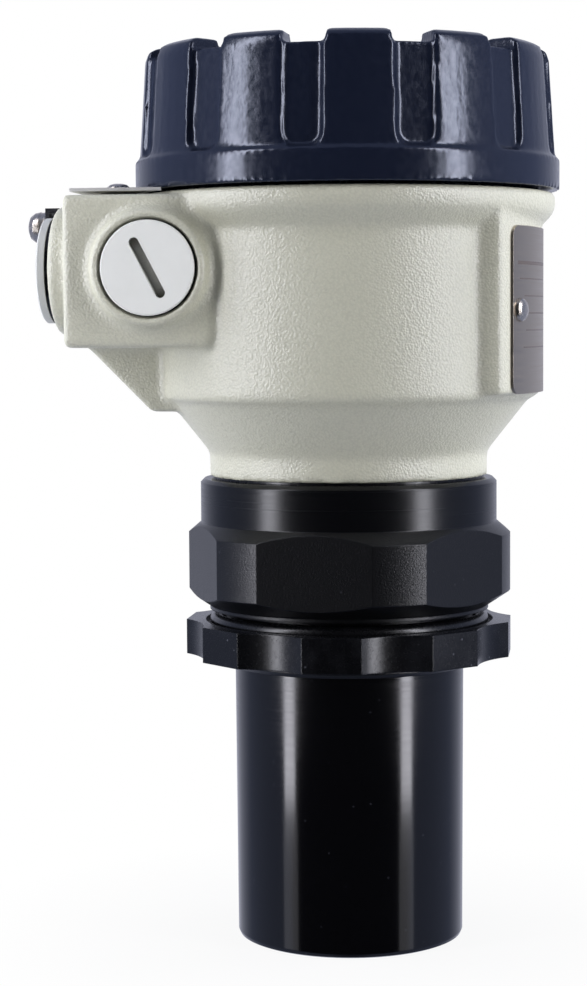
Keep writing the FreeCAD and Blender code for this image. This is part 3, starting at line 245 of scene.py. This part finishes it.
def turned_black():
    """Black plastic as turned on the collar and as milled on the hexagon below it."""
    finish, tree, shader = new_finish("turned_black")
    place = object_place(tree)
    height = add_node(tree, "ShaderNodeSeparateXYZ", {"Vector": place}).outputs["Z"]
    on_collar = add_node(tree, "ShaderNodeMapRange", {
        "Value": height, "From Min": (COLLAR_FOOT - 0.5) * MM,
        "From Max": (COLLAR_FOOT + 0.3) * MM}).outputs["Result"]
    flattened = add_node(tree, "ShaderNodeMapping", {"Vector": place, "Scale": (6.0, 6.0, 2600.0)})
    rings = add_node(tree, "ShaderNodeTexNoise", {
        "Vector": flattened.outputs["Vector"], "Scale": 1.0, "Detail": 3.0})
    grain = add_node(tree, "ShaderNodeTexNoise", {"Vector": place, "Scale": 2600.0, "Detail": 2.0})
    turned = product(tree, rings.outputs["Fac"], on_collar)
    milled = add_node(tree, "ShaderNodeMapRange", {
        "Value": on_collar, "To Min": 1.0, "To Max": 0.05}).outputs["Result"]
    fine = product(tree, grain.outputs["Fac"], milled)
    streaks = product(tree, turned, 0.3)
    relief = add_node(tree, "ShaderNodeMath", {0: streaks, 1: fine})
    gloss = add_node(tree, "ShaderNodeMapRange", {
        "Value": on_collar, "To Min": 0.34, "To Max": 0.17}).outputs["Result"]
    uneven = product(tree, turned, 0.16)
    rough = add_node(tree, "ShaderNodeMath", {0: gloss, 1: uneven})
    shine = add_node(tree, "ShaderNodeMapRange", {"Value": on_collar, "To Min": 0.44, "To Max": 0.36})
    settled = use_group(tree, settled_dust, {"Place": place, "Speck Scale": 480.0, "Film Scale": 70.0})
    specks = product(tree, settled.outputs["Specks"], milled)
    tint = mix_colour(tree, specks, (0.0016, 0.0017, 0.0021), (0.02, 0.021, 0.024))
    tree.links.new(tint, shader.inputs["Base Color"])
    tree.links.new(rough.outputs["Value"], shader.inputs["Roughness"])
    tree.links.new(shine.outputs["Result"], shader.inputs["Specular IOR Level"])
    soften(tree, shader, radius=0.45 * MM, height=relief.outputs["Value"],
           strength=0.8, distance=0.08 * MM)
    return finish


def new_piece(name, shell):
    """Makes a bmesh an object of the scene and frees it."""
    mesh = bpy.data.meshes.new(name)
    shell.to_mesh(mesh)
    shell.free()
    piece = bpy.data.objects.new(name, mesh)
    bpy.context.scene.collection.objects.link(piece)
    return piece


def milled_bar(name, profile, half_across, turn_deg):
    """Bar turned to a closed profile of radius and height, with six flats milled on it."""
    shell = bmesh.new()
    points = [shell.verts.new((radius * MM, 0.0, height * MM)) for radius, height in profile]
    loop = [shell.edges.new((points[i - 1], points[i])) for i in range(len(points))]
    bmesh.ops.spin(shell, geom=points + loop, axis=(0.0, 0.0, 1.0), steps=144, angle=math.tau,
                   use_merge=True)
    for face in shell.faces:
        face.smooth = True
    for flat in range(6):
        azimuth = math.radians(turn_deg + 60.0 * flat)
        outward = Vector((math.cos(azimuth), math.sin(azimuth), 0.0))
        cut = bmesh.ops.bisect_plane(
            shell, geom=[*shell.verts, *shell.edges, *shell.faces], dist=0.001 * MM,
            plane_co=outward * half_across * MM, plane_no=outward, clear_outer=True)
        rim = [part for part in cut["geom_cut"] if isinstance(part, bmesh.types.BMEdge)]
        bmesh.ops.edgeloop_fill(shell, edges=rim)
    bmesh.ops.recalc_face_normals(shell, faces=shell.faces)
    piece = new_piece(name, shell)
    piece.data.set_sharp_from_angle(angle=math.radians(12.0))
    return piece


fitting_profile = [
    (STUB_BORE, STUB_FOOT),
    (STUB_RADIUS - EDGE_CUT, STUB_FOOT),
    (STUB_RADIUS, STUB_FOOT + EDGE_CUT),
    (STUB_RADIUS, RELIEF_FOOT),
    (RELIEF_RADIUS, RELIEF_FOOT + EDGE_CUT),
    (RELIEF_RADIUS, RIDGE_FOOT),
    (RIDGE_RADIUS, RIDGE_FOOT),
    (RIDGE_RADIUS, RIDGE_TOP),
    (HEXAGON_CORNER_RADIUS, HEXAGON_FOOT),
    (HEXAGON_CORNER_RADIUS, HEXAGON_TOP),
    (COLLAR_RADIUS, COLLAR_FOOT),
    (COLLAR_RADIUS, COLLAR_TOP - EDGE_CUT),
    (COLLAR_RADIUS - EDGE_CUT, COLLAR_TOP),
    (SPIGOT_RADIUS, COLLAR_TOP),
    (SPIGOT_RADIUS, SPIGOT_TOP),
    (LEAD_BORE, SPIGOT_TOP),
    (LEAD_BORE, LEAD_BORE_FOOT),
    (STUB_BORE, LEAD_BORE_FOOT),
]
fitting = milled_bar("turned_fitting", fitting_profile, HEXAGON_HALF_ACROSS, HEXAGON_TURN_DEG)
fitting_black = turned_black()
fitting.data.materials.append(fitting_black)
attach(fitting, "base")
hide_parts("process_fitting")


def thread_ridge(name, body, finish, start, axis, radius, pitch, turns):
    """Low V-shaped ridge of a screw thread, spun up a helix from a start point on its axis."""
    height = 0.2 * MM
    steps_per_turn = 72
    along = Vector(axis)
    across = along.orthogonal().normalized()
    foot = Vector(start) * MM + across * radius * MM
    half = along * pitch * MM / 2
    shell = bmesh.new()
    corners = [shell.verts.new(point) for point in (foot - half, foot + across * height, foot + half)]
    sides = [shell.edges.new((corners[i], corners[i - 1])) for i in range(3)]
    steps = round(turns * steps_per_turn)
    bmesh.ops.spin(shell, geom=corners + sides, cent=Vector(start) * MM, axis=along, steps=steps,
                   dvec=along * pitch * MM / steps_per_turn, angle=math.tau * steps / steps_per_turn)
    bmesh.ops.holes_fill(shell, edges=[edge for edge in shell.edges if edge.is_boundary], sides=3)
    bmesh.ops.recalc_face_normals(shell, faces=shell.faces)
    ridge = new_piece(name, shell)
    ridge.data.materials.append(finish)
    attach(ridge, body)


thread_ridge(
    "fitting_thread", "base", fitting_black,
    start=(0.0, 0.0, 67.3), axis=(0.0, 0.0, 1.0), radius=STUB_RADIUS, pitch=PROCESS_PITCH, turns=3.9)


# Lock nut and seals: the nut is a glass-filled black moulding, dull and a little dusty from handling. The
# O-ring that lies on it, the flat neck seal and the other seals are black nitrile rubber.
def moulded_black(name, scale, rough_low, rough_high, bump, edge, dust, shine=0.5):
    """Black plastic or rubber whose gloss varies with a fine grain, under specks and a film of dust."""
    finish, tree, shader = new_finish(name, **{"Specular IOR Level": shine})
    place = object_place(tree)
    grain = add_node(tree, "ShaderNodeTexNoise", {
        "Vector": place, "Scale": scale, "Detail": 5.0, "Roughness": 0.65})
    gloss = add_node(tree, "ShaderNodeMapRange", {
        "Value": grain.outputs["Fac"], "From Min": 0.3, "From Max": 0.75,
        "To Min": rough_low, "To Max": rough_high})
    settled = use_group(tree, settled_dust, {"Place": place, "Speck Scale": 520.0, "Film Scale": 90.0})
    film = product(tree, settled.outputs["Film"], dust)
    specks = product(tree, settled.outputs["Specks"], dust)
    clouded = mix_colour(tree, film, (0.0018, 0.0019, 0.0023), (0.008, 0.0083, 0.0095))
    tint = mix_colour(tree, specks, clouded, (0.06, 0.062, 0.07))
    tree.links.new(tint, shader.inputs["Base Color"])
    tree.links.new(gloss.outputs["Result"], shader.inputs["Roughness"])
    soften(tree, shader, radius=edge, height=grain.outputs["Fac"],
           strength=bump, distance=0.02 * MM)
    return finish


moulded_nut = moulded_black(
    "moulded_nut", scale=1300.0, rough_low=0.21, rough_high=0.31, bump=0.4, edge=0.5 * MM, dust=0.9,
    shine=0.36)
dress(moulded_nut, "lock_nut")
seal_rubber = moulded_black(
    "seal_rubber", scale=500.0, rough_low=0.22, rough_high=0.34, bump=0.2, edge=0.2 * MM, dust=0.6)
dress(seal_rubber, "process_oring", "neck_seal", "cover_oring", "glass_seal", "front_plug_seal",
      "rear_plug_seal", "gland_plug_a_seal", "gland_plug_b_seal")


# Housing: one gravity casting in aluminium with drum, neck, cable block, web and nameplate pad, blasted and
# coated with a thick cream powder paint that leaves fine pits and an orange-peel skin. The paint runs soft
# over every edge, so the corners are rounded here by remeshing and smoothing.
def cast_grain_group():
    """Orange-peel skin with small pits, for thick paint over a casting."""
    group, source, sink = new_group(
        "cast_grain",
        {"Place": "Vector", "Peel Scale": "Float", "Ripple Scale": "Float", "Pit Scale": "Float"},
        ["Relief", "Pits"])
    pebbles = add_node(group, "ShaderNodeTexVoronoi", {
        "Vector": source.outputs["Place"], "Scale": source.outputs["Peel Scale"], "Smoothness": 0.5},
        feature="SMOOTH_F1")
    ripple = add_node(group, "ShaderNodeTexNoise", {
        "Vector": source.outputs["Place"], "Scale": source.outputs["Ripple Scale"], "Detail": 2.0})
    waves = product(group, ripple.outputs["Fac"], 0.5)
    peel = add_node(group, "ShaderNodeMath", {0: waves, 1: pebbles.outputs["Distance"]},
                    operation="SUBTRACT")
    cells = add_node(group, "ShaderNodeTexVoronoi", {
        "Vector": source.outputs["Place"], "Scale": source.outputs["Pit Scale"]})
    chance = add_node(group, "ShaderNodeSeparateColor", {"Color": cells.outputs["Color"]})
    reach = add_node(group, "ShaderNodeMapRange", {
        "Value": chance.outputs["Red"], "From Min": 0.80, "From Max": 1.0, "To Min": 0.0, "To Max": 0.26})
    depth = add_node(group, "ShaderNodeMath", {0: reach.outputs["Result"], 1: cells.outputs["Distance"]},
                     operation="SUBTRACT", use_clamp=True)
    pits = product(group, depth.outputs["Value"], 3.0, use_clamp=True)
    sunk = product(group, pits, 0.6)
    relief = add_node(group, "ShaderNodeMath", {0: peel.outputs["Value"], 1: sunk}, operation="SUBTRACT")
    group.links.new(relief.outputs["Value"], sink.inputs["Relief"])
    group.links.new(pits, sink.inputs["Pits"])
    return group


cast_grain = cast_grain_group()


def cream_paint():
    """Cream powder paint, with painted shade in the hollows and pits of its skin and painted light that
    makes it a little paler on the cable block.
    """
    finish, tree, shader = new_finish("cream_paint", **{"Specular IOR Level": 1.0})
    place = object_place(tree)
    grain = use_group(tree, cast_grain, {
        "Place": place, "Peel Scale": 1900.0, "Ripple Scale": 1100.0, "Pit Scale": 800.0})
    blotch = add_node(tree, "ShaderNodeTexNoise", {"Vector": place, "Scale": 40.0, "Detail": 3.0})
    drum_coat = mix_colour(tree, blotch.outputs["Fac"], (0.462, 0.455, 0.342), (0.502, 0.495, 0.382))
    # Painted light: the colour turns paler across the cable block, where more light falls on it.
    drum_end = -28.0 * MM
    block_start = -48.0 * MM
    across = add_node(tree, "ShaderNodeSeparateXYZ", {"Vector": place}).outputs["X"]
    block_light = add_node(tree, "ShaderNodeMapRange", {
        "Value": across, "From Min": drum_end, "From Max": block_start}).outputs["Result"]
    body = mix_colour(tree, block_light, drum_coat, (0.545, 0.537, 0.415))
    # Painted shade: the pits of the skin are darkened in the colour.
    pit_shade = product(tree, grain.outputs["Pits"], 0.35)
    # Painted shade: the colour darkens towards grey-brown in the hollows of the skin.
    hollow_shade = add_node(tree, "ShaderNodeMapRange", {
        "Value": grain.outputs["Relief"], "From Min": 0.10, "From Max": -0.55, "To Max": 0.22})
    shaded = mix_colour(tree, hollow_shade.outputs["Result"], body, (0.20, 0.20, 0.15))
    tint = mix_colour(tree, pit_shade, shaded, (0.26, 0.26, 0.21))
    rough = add_node(tree, "ShaderNodeMapRange", {
        "Value": grain.outputs["Relief"], "From Min": -0.5, "From Max": 0.2, "To Min": 0.45, "To Max": 0.34})
    tree.links.new(tint, shader.inputs["Base Color"])
    tree.links.new(rough.outputs["Result"], shader.inputs["Roughness"])
    soften(tree, shader, radius=0.5 * MM, height=grain.outputs["Relief"],
           strength=0.8, distance=0.15 * MM)
    return finish


def soft_copy(name, node_name, voxel, passes):
    """Copy of a CAD node with its corners run soft, as thick paint leaves them."""
    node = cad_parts[node_name]
    shell = bmesh.new()
    shell.from_mesh(node.data)
    shell.transform(node.matrix_world)
    bmesh.ops.remove_doubles(shell, verts=shell.verts, dist=0.002 * MM)
    piece = new_piece(name, shell)
    remesh = piece.modifiers.new("even_skin", "REMESH")
    remesh.mode = "VOXEL"
    remesh.voxel_size = voxel
    remesh.use_smooth_shade = True
    smooth = piece.modifiers.new("run_soft", "SMOOTH")
    smooth.factor = 0.5
    smooth.iterations = passes
    bpy.context.view_layer.update()
    evaluated = piece.evaluated_get(bpy.context.evaluated_depsgraph_get())
    finished = bpy.data.meshes.new_from_object(evaluated)
    piece.modifiers.clear()
    piece.data = finished
    return piece


casting = soft_copy("cast_housing", "housing", voxel=0.85 * MM, passes=3)
casting.data.materials.append(cream_paint())
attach(casting, "base")
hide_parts("housing")


# Entry plugs: die cast in zinc and coated light grey, screwed into the cable entries on a rubber ring, each
# with a slot for a coin or a screwdriver across its face. The gland plugs on the block's left face take the
# same coat painted darker, as painted shade.
ENTRY_HEIGHT = 160.2
CONDUIT_ENTRY_X = -40.85
CONDUIT_THREAD_START = 30.0
GLAND_ENTRY_Y = 17.0
GLAND_THREAD_START = -57.8


def open_finish(finish):
    """Returns a finish's node tree, its principled shader and the socket that its colour comes from."""
    tree = finish.node_tree
    shader = next(node for node in tree.nodes if node.type == "BSDF_PRINCIPLED")
    return tree, shader, shader.inputs["Base Color"].links[0].from_socket


def plug_grey(name, colour, second):
    """Satin grey coat with painted shade, darkened by occlusion, in the slot and under the edges."""
    finish = plain_grain(name, colour, second, scale=160.0, rough=0.42, bump=0.12, edge=0.35 * MM)
    tree, shader, unshaded = open_finish(finish)
    # Painted shade: the coat darkens towards grey-brown where ambient occlusion is high.
    open_sky = add_node(tree, "ShaderNodeAmbientOcclusion", {"Distance": 2.5 * MM}, samples=8).outputs["AO"]
    occlusion_shade = add_node(tree, "ShaderNodeMapRange", {
        "Value": open_sky, "From Min": 0.35, "From Max": 0.85, "To Min": 1.0, "To Max": 0.0})
    tint = mix_colour(tree, occlusion_shade.outputs["Result"], unshaded, (0.16, 0.155, 0.12))
    tree.links.new(tint, shader.inputs["Base Color"])
    return finish


conduit_coat = plug_grey("conduit_plug_grey", (0.675, 0.678, 0.615), (0.745, 0.748, 0.685))
dress(conduit_coat, "front_plug", "rear_plug")
for end, outward in (("front", -1.0), ("rear", 1.0)):
    thread_ridge(
        f"{end}_plug_thread", f"{end}_stopper", conduit_coat,
        start=(CONDUIT_ENTRY_X, CONDUIT_THREAD_START * outward, ENTRY_HEIGHT), axis=(0.0, outward, 0.0),
        radius=10.1, pitch=1.814, turns=4.8)
# Painted shade: the gland plugs get the conduit plugs' coat in a darker grey.
gland_coat_shaded = plug_grey("gland_plug_grey_shaded", (0.52, 0.525, 0.485), (0.58, 0.585, 0.545))
dress(gland_coat_shaded, "gland_plug_a", "gland_plug_b")
for letter, offset in (("a", -GLAND_ENTRY_Y), ("b", GLAND_ENTRY_Y)):
    thread_ridge(
        f"gland_plug_{letter}_thread", f"gland_stopper_{letter}", gland_coat_shaded,
        start=(GLAND_THREAD_START, offset, ENTRY_HEIGHT), axis=(-1.0, 0.0, 0.0),
        radius=9.6, pitch=1.5, turns=5.6)


# Earth terminal: a blackened steel wire clamp under a flat and a spring washer and a stainless pan head
# screw, driven into the cast pillar between the two left entries.
def brushed_steel(name, colour, fineness, rough, edge, metallic=1.0):
    """Metal with a fine grain, drawn out to brush lines along the axes with a low fineness."""
    finish, tree, shader = new_finish(name, Metallic=metallic)
    place = object_place(tree)
    drawn = add_node(tree, "ShaderNodeMapping", {"Vector": place, "Scale": fineness})
    lines = add_node(tree, "ShaderNodeTexNoise", {
        "Vector": drawn.outputs["Vector"], "Scale": 1.0, "Detail": 4.0, "Roughness": 0.6})
    gloss = add_node(tree, "ShaderNodeMapRange", {
        "Value": lines.outputs["Fac"], "From Min": 0.3, "From Max": 0.7, "To Min": rough - 0.05,
        "To Max": rough + 0.1})
    darker = tuple(0.82 * channel for channel in colour)
    tint = mix_colour(tree, lines.outputs["Fac"], darker, colour)
    tree.links.new(tint, shader.inputs["Base Color"])
    tree.links.new(gloss.outputs["Result"], shader.inputs["Roughness"])
    soften(tree, shader, radius=edge, height=lines.outputs["Fac"],
           strength=0.2, distance=0.02 * MM)
    return finish


screw_steel = brushed_steel(
    "screw_steel", (0.66, 0.61, 0.54), fineness=(900.0, 900.0, 900.0), rough=0.26, edge=0.25 * MM)
dress(screw_steel, "earth_screw", "earth_flat_washer", "earth_spring_washer", "top_plate_rivets",
      "nameplate_rivets", "board_screws", "terminal_screws")
blackened_steel = plain_grain(
    "blackened_steel", (0.012, 0.012, 0.014), (0.03, 0.03, 0.034), scale=600.0, rough=0.4, bump=0.3)
dress(blackened_steel, "earth_clamp")


# Top plate and nameplate: stainless sheet, brushed along its length, riveted to the block and bent round the
# cast pad. The nameplate carries printed rules for the fields, left blank.
THIN_RULE = 0.3
THICK_RULE = 0.8
flat_steel = brushed_steel(
    "plate_steel_flat", (0.84, 0.83, 0.79), fineness=(60.0, 2200.0, 60.0), rough=0.4, edge=0.15 * MM,
    metallic=0.5)
dress(flat_steel, "top_plate")


def ruled_print_group():
    """Mask of the printed rules, by height on the plate and reach to each side of its middle."""
    group, source, sink = new_group("ruled_print", {"Place": "Vector"}, ["Print"])
    axes = add_node(group, "ShaderNodeSeparateXYZ", {"Vector": source.outputs["Place"]})
    inked = None
    for height, thickness, reach in (
            (161.0, THICK_RULE, 25.0), (157.4, THIN_RULE, 24.0), (153.5, THIN_RULE, 21.5),
            (149.6, THIN_RULE, 20.5), (145.7, THIN_RULE, 20.5), (141.8, THIN_RULE, 22.0)):
        across = add_node(group, "ShaderNodeMath", {
            0: axes.outputs["Y"], 1: 0.0, 2: reach * MM}, operation="COMPARE")
        level = add_node(group, "ShaderNodeMath", {
            0: axes.outputs["Z"], 1: height * MM, 2: 0.5 * thickness * MM}, operation="COMPARE")
        rule = product(group, across.outputs["Value"], level.outputs["Value"])
        if inked:
            both = add_node(group, "ShaderNodeMath", {0: inked, 1: rule}, operation="MAXIMUM")
            rule = both.outputs["Value"]
        inked = rule
    group.links.new(inked, sink.inputs["Print"])
    return group


def printed_plate():
    """Brushed steel with dark printed rules that don't shine as metal does."""
    finish = brushed_steel(
        "plate_steel_bent", (0.51, 0.45, 0.37), fineness=(40.0, 40.0, 2400.0), rough=0.36,
        edge=0.15 * MM)
    tree, shader, bare = open_finish(finish)
    inked = use_group(tree, ruled_print_group(), {"Place": object_place(tree)}).outputs["Print"]
    tree.links.new(mix_colour(tree, inked, bare, (0.07, 0.055, 0.045)), shader.inputs["Base Color"])
    shine = add_node(tree, "ShaderNodeMapRange", {"Value": inked, "To Min": 1.0, "To Max": 0.0})
    tree.links.new(shine.outputs["Result"], shader.inputs["Metallic"])
    return finish


dress(printed_plate(), "nameplate")


# Terminal board: glass-fibre laminate with green solder mask, screwed down in the drum, with a moulded green
# terminal block for the cable cores soldered on it.
solder_mask = plain_grain(
    "solder_mask", (0.010, 0.07, 0.03), (0.016, 0.10, 0.045), scale=240.0, rough=0.32, bump=0.1)
dress(solder_mask, "terminal_board")
terminal_green = plain_grain(
    "terminal_green", (0.02, 0.14, 0.06), (0.03, 0.17, 0.075), scale=300.0, rough=0.45, bump=0.2)
dress(terminal_green, "terminal_block")


# Display module: a black moulded bezel on anodised posts, with a reflective liquid crystal panel and four
# grey rubber keys over rubber domes.
anodised = brushed_steel(
    "anodised", (0.22, 0.225, 0.24), fineness=(700.0, 700.0, 700.0), rough=0.35, edge=0.2 * MM)
dress(anodised, "display_posts")
bezel_black = moulded_black(
    "bezel_black", scale=900.0, rough_low=0.40, rough_high=0.52, bump=0.4, edge=0.3 * MM, dust=0.2)
dress(bezel_black, "display_bezel")
panel_green = plain_grain(
    "panel_green", (0.17, 0.20, 0.13), (0.20, 0.235, 0.155), scale=90.0, rough=0.16, bump=0.05)
dress(panel_green, "lcd_panel")
key_grey = plain_grain(
    "key_grey", (0.20, 0.21, 0.22), (0.25, 0.26, 0.27), scale=700.0, rough=0.55, bump=0.3)
for key in ("key_escape", "key_minus", "key_plus", "key_enter"):
    dress(key_grey, key, f"{key}_dome")


# Cover: a die casting with twelve lobes for a strap wrench, painted in glossy dark navy over the as-cast
# skin. Its edges run soft as the housing's do, only finer.
RIM_TOP = 186.4


def navy_paint():
    """Glossy navy paint that lies smooth on the rim and shows the cast skin on the lobes."""
    finish, tree, shader = new_finish("navy_paint", **{"Specular Tint": (0.94, 1.0, 1.15, 1.0)})
    place = object_place(tree)
    height = add_node(tree, "ShaderNodeSeparateXYZ", {"Vector": place}).outputs["Z"]
    on_lobes = add_node(tree, "ShaderNodeMapRange", {
        "Value": height, "From Min": (RIM_TOP - 0.5) * MM,
        "From Max": (RIM_TOP + 0.5) * MM}).outputs["Result"]
    drawn = add_node(tree, "ShaderNodeMapping", {"Vector": place, "Scale": (820.0, 820.0, 620.0)})
    skin = add_node(tree, "ShaderNodeTexNoise", {
        "Vector": drawn.outputs["Vector"], "Scale": 1.0, "Detail": 3.0, "Roughness": 0.5})
    tint = mix_colour(tree, skin.outputs["Fac"], (0.0056, 0.0078, 0.0160), (0.0078, 0.0106, 0.0210))
    gloss = add_node(tree, "ShaderNodeMapRange", {
        "Value": skin.outputs["Fac"], "From Min": 0.3, "From Max": 0.7, "To Min": 0.16, "To Max": 0.26})
    lift = add_node(tree, "ShaderNodeMapRange", {"Value": on_lobes, "To Min": 0.04, "To Max": 1.0})
    relief = product(tree, skin.outputs["Fac"], lift.outputs["Result"])
    tree.links.new(tint, shader.inputs["Base Color"])
    tree.links.new(gloss.outputs["Result"], shader.inputs["Roughness"])
    soften(tree, shader, radius=0.3 * MM, height=relief,
           strength=0.5, distance=0.09 * MM)
    return finish


crown = soft_copy("crown_cover", "cover", voxel=0.62 * MM, passes=3)
navy = navy_paint()
crown.data.materials.append(navy)
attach(crown, "cover_cap")
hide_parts("cover")
thread_ridge(
    "cover_thread", "cover_cap", navy,
    start=(0.0, 0.0, 173.9), axis=(0.0, 0.0, 1.0), radius=43.4, pitch=2.0, turns=1.8)


# Sight glass: a toughened disc between a flat seal and a screwed anodised ring, so that the display reads
# with the cover on.
def clear_glass():
    """Clear glass with faint smears in its gloss."""
    finish, tree, shader = new_finish(
        "clear_glass", **{"Base Color": (0.93, 0.96, 0.95, 1.0), "Transmission Weight": 1.0, "IOR": 1.5})
    smears = add_node(tree, "ShaderNodeTexNoise", {
        "Vector": object_place(tree), "Scale": 60.0, "Detail": 5.0})
    gloss = add_node(tree, "ShaderNodeMapRange", {
        "Value": smears.outputs["Fac"], "From Min": 0.5, "From Max": 0.8, "To Min": 0.01, "To Max": 0.06})
    tree.links.new(gloss.outputs["Result"], shader.inputs["Roughness"])
    return finish


dress(clear_glass(), "sight_glass")
dress(anodised, "glass_ring")


# Studio: a pale floor under a white surround that is dark towards the camera. On each side stand a tall
# strip lamp with a dim foot and, further back, a wide fill that no gloss mirrors. The camera is where the
# photograph was taken from.
def pale_floor():
    """White to the camera, with a little shadow left near the axis, and grey to the light it bounces."""
    finish, tree, shader = new_finish(
        "pale_floor", **{"Base Color": (0.42, 0.42, 0.42, 1.0), "Roughness": 0.9})
    away = add_node(tree, "ShaderNodeVectorMath", {0: object_place(tree)}, operation="LENGTH")
    bare = add_node(tree, "ShaderNodeMapRange", {
        "Value": away.outputs["Value"], "From Min": 0.03, "From Max": 0.10, "To Min": 0.92, "To Max": 1.0})
    seen = add_node(tree, "ShaderNodeLightPath").outputs["Is Camera Ray"]
    share = product(tree, seen, bare.outputs["Result"])
    glow = add_node(tree, "ShaderNodeEmission", {"Color": (1.0, 1.0, 1.0, 1.0), "Strength": 1.0})
    both = add_node(tree, "ShaderNodeMixShader", {
        0: share, 1: shader.outputs["BSDF"], 2: glow.outputs["Emission"]})
    output = next(node for node in tree.nodes if node.type == "OUTPUT_MATERIAL")
    tree.links.new(both.outputs["Shader"], output.inputs["Surface"])
    return finish


ground = bmesh.new()
bmesh.ops.create_circle(ground, cap_ends=True, segments=96, radius=4.0)
floor = new_piece("floor", ground)
floor.data.materials.append(pale_floor())
floor.location.z = -0.05 * MM
floor.visible_glossy = False
floor.visible_shadow = False

CAMERA_AZIMUTH = math.radians(6.0)
CAMERA_PLACE = (58.6 * MM, -557.9 * MM, 148.0 * MM)
CAMERA_DIP = math.radians(4.2)
CAMERA_PAN = math.radians(7.35)
CAMERA_ROLL = math.radians(-0.36)
world = bpy.data.worlds.new("white_tent")
bpy.context.scene.world = world
world.use_nodes = True
tent = world.node_tree
tent.nodes.clear()
heading = add_node(tent, "ShaderNodeTexCoord").outputs["Generated"]
forward = (math.sin(CAMERA_AZIMUTH), -math.cos(CAMERA_AZIMUTH), 0.0)
facing = add_node(tent, "ShaderNodeVectorMath", {0: heading, 1: forward}, operation="DOT_PRODUCT")
turned_away = add_node(tent, "ShaderNodeMapRange", {
    "Value": facing.outputs["Value"], "From Min": 0.52, "From Max": 0.40}, interpolation_type="SMOOTHSTEP")
sides = mix_colour(tent, turned_away.outputs["Result"], (0.010, 0.010, 0.012), (0.245, 0.282, 0.415))
opposite = add_node(tent, "ShaderNodeMapRange", {
    "Value": facing.outputs["Value"], "From Min": -0.50, "From Max": -0.90}).outputs["Result"]
surround = mix_colour(tent, opposite, sides, (0.60, 0.62, 0.75))
seen = add_node(tent, "ShaderNodeLightPath").outputs["Is Camera Ray"]
backdrop = mix_colour(tent, seen, surround, (1.0, 1.0, 1.0))
sky = add_node(tent, "ShaderNodeBackground", {"Color": backdrop})
add_node(tent, "ShaderNodeOutputWorld", {"Surface": sky.outputs["Background"]})


def soft_lamp(name, azimuth_deg, width, low, high, radiance, colour, mirrored=True):
    """Soft lamp that faces the axis from a distance, in metres; azimuth from the front towards +X."""
    distance = 0.9
    azimuth = math.radians(azimuth_deg)
    lamp = bpy.data.lights.new(name, "AREA")
    lamp.shape = "RECTANGLE"
    lamp.size = width
    lamp.size_y = high - low
    lamp.energy = radiance * math.pi * width * (high - low)
    lamp.color = colour
    stand = bpy.data.objects.new(name, lamp)
    stand.location = (distance * math.sin(azimuth), -distance * math.cos(azimuth), (low + high) / 2)
    inward = Vector((-stand.location.x, -stand.location.y, 0.0))
    stand.rotation_euler = inward.to_track_quat("-Z", "Y").to_euler()
    stand.visible_glossy = mirrored
    bpy.context.scene.collection.objects.link(stand)


STRIP_FOOT = -0.15
STRIP_COLOUR = (1.0, 1.0, 1.08)
FILL_COLOUR = (0.93, 0.95, 1.10)
for side, front_azimuth, back_azimuth in (("left", -56.0, -94.0), ("right", 64.0, 109.0)):
    soft_lamp(f"strip_{side}", front_azimuth, width=0.19, low=STRIP_FOOT, high=1.2, radiance=11.0,
              colour=STRIP_COLOUR)
    soft_lamp(f"strip_foot_{side}", front_azimuth, width=0.26, low=-0.30, high=STRIP_FOOT, radiance=0.7,
              colour=STRIP_COLOUR)
    soft_lamp(f"side_fill_{side}", back_azimuth, width=0.5, low=-0.2, high=1.0, radiance=6.4,
              colour=FILL_COLOUR, mirrored=False)

camera_data = bpy.data.cameras.new("camera")
camera_data.lens = 85.3
camera_data.sensor_width = 36.0
camera = bpy.data.objects.new("camera", camera_data)
look = Euler((math.pi / 2 - CAMERA_DIP, 0.0, CAMERA_PAN)).to_matrix()
roll = Matrix.Rotation(CAMERA_ROLL, 3, "Z")
camera.matrix_world = Matrix.Translation(CAMERA_PLACE) @ (look @ roll).to_4x4()
bpy.context.scene.collection.objects.link(camera)
bpy.context.scene.camera = camera
bpy.context.scene.view_settings.view_transform = "Standard"
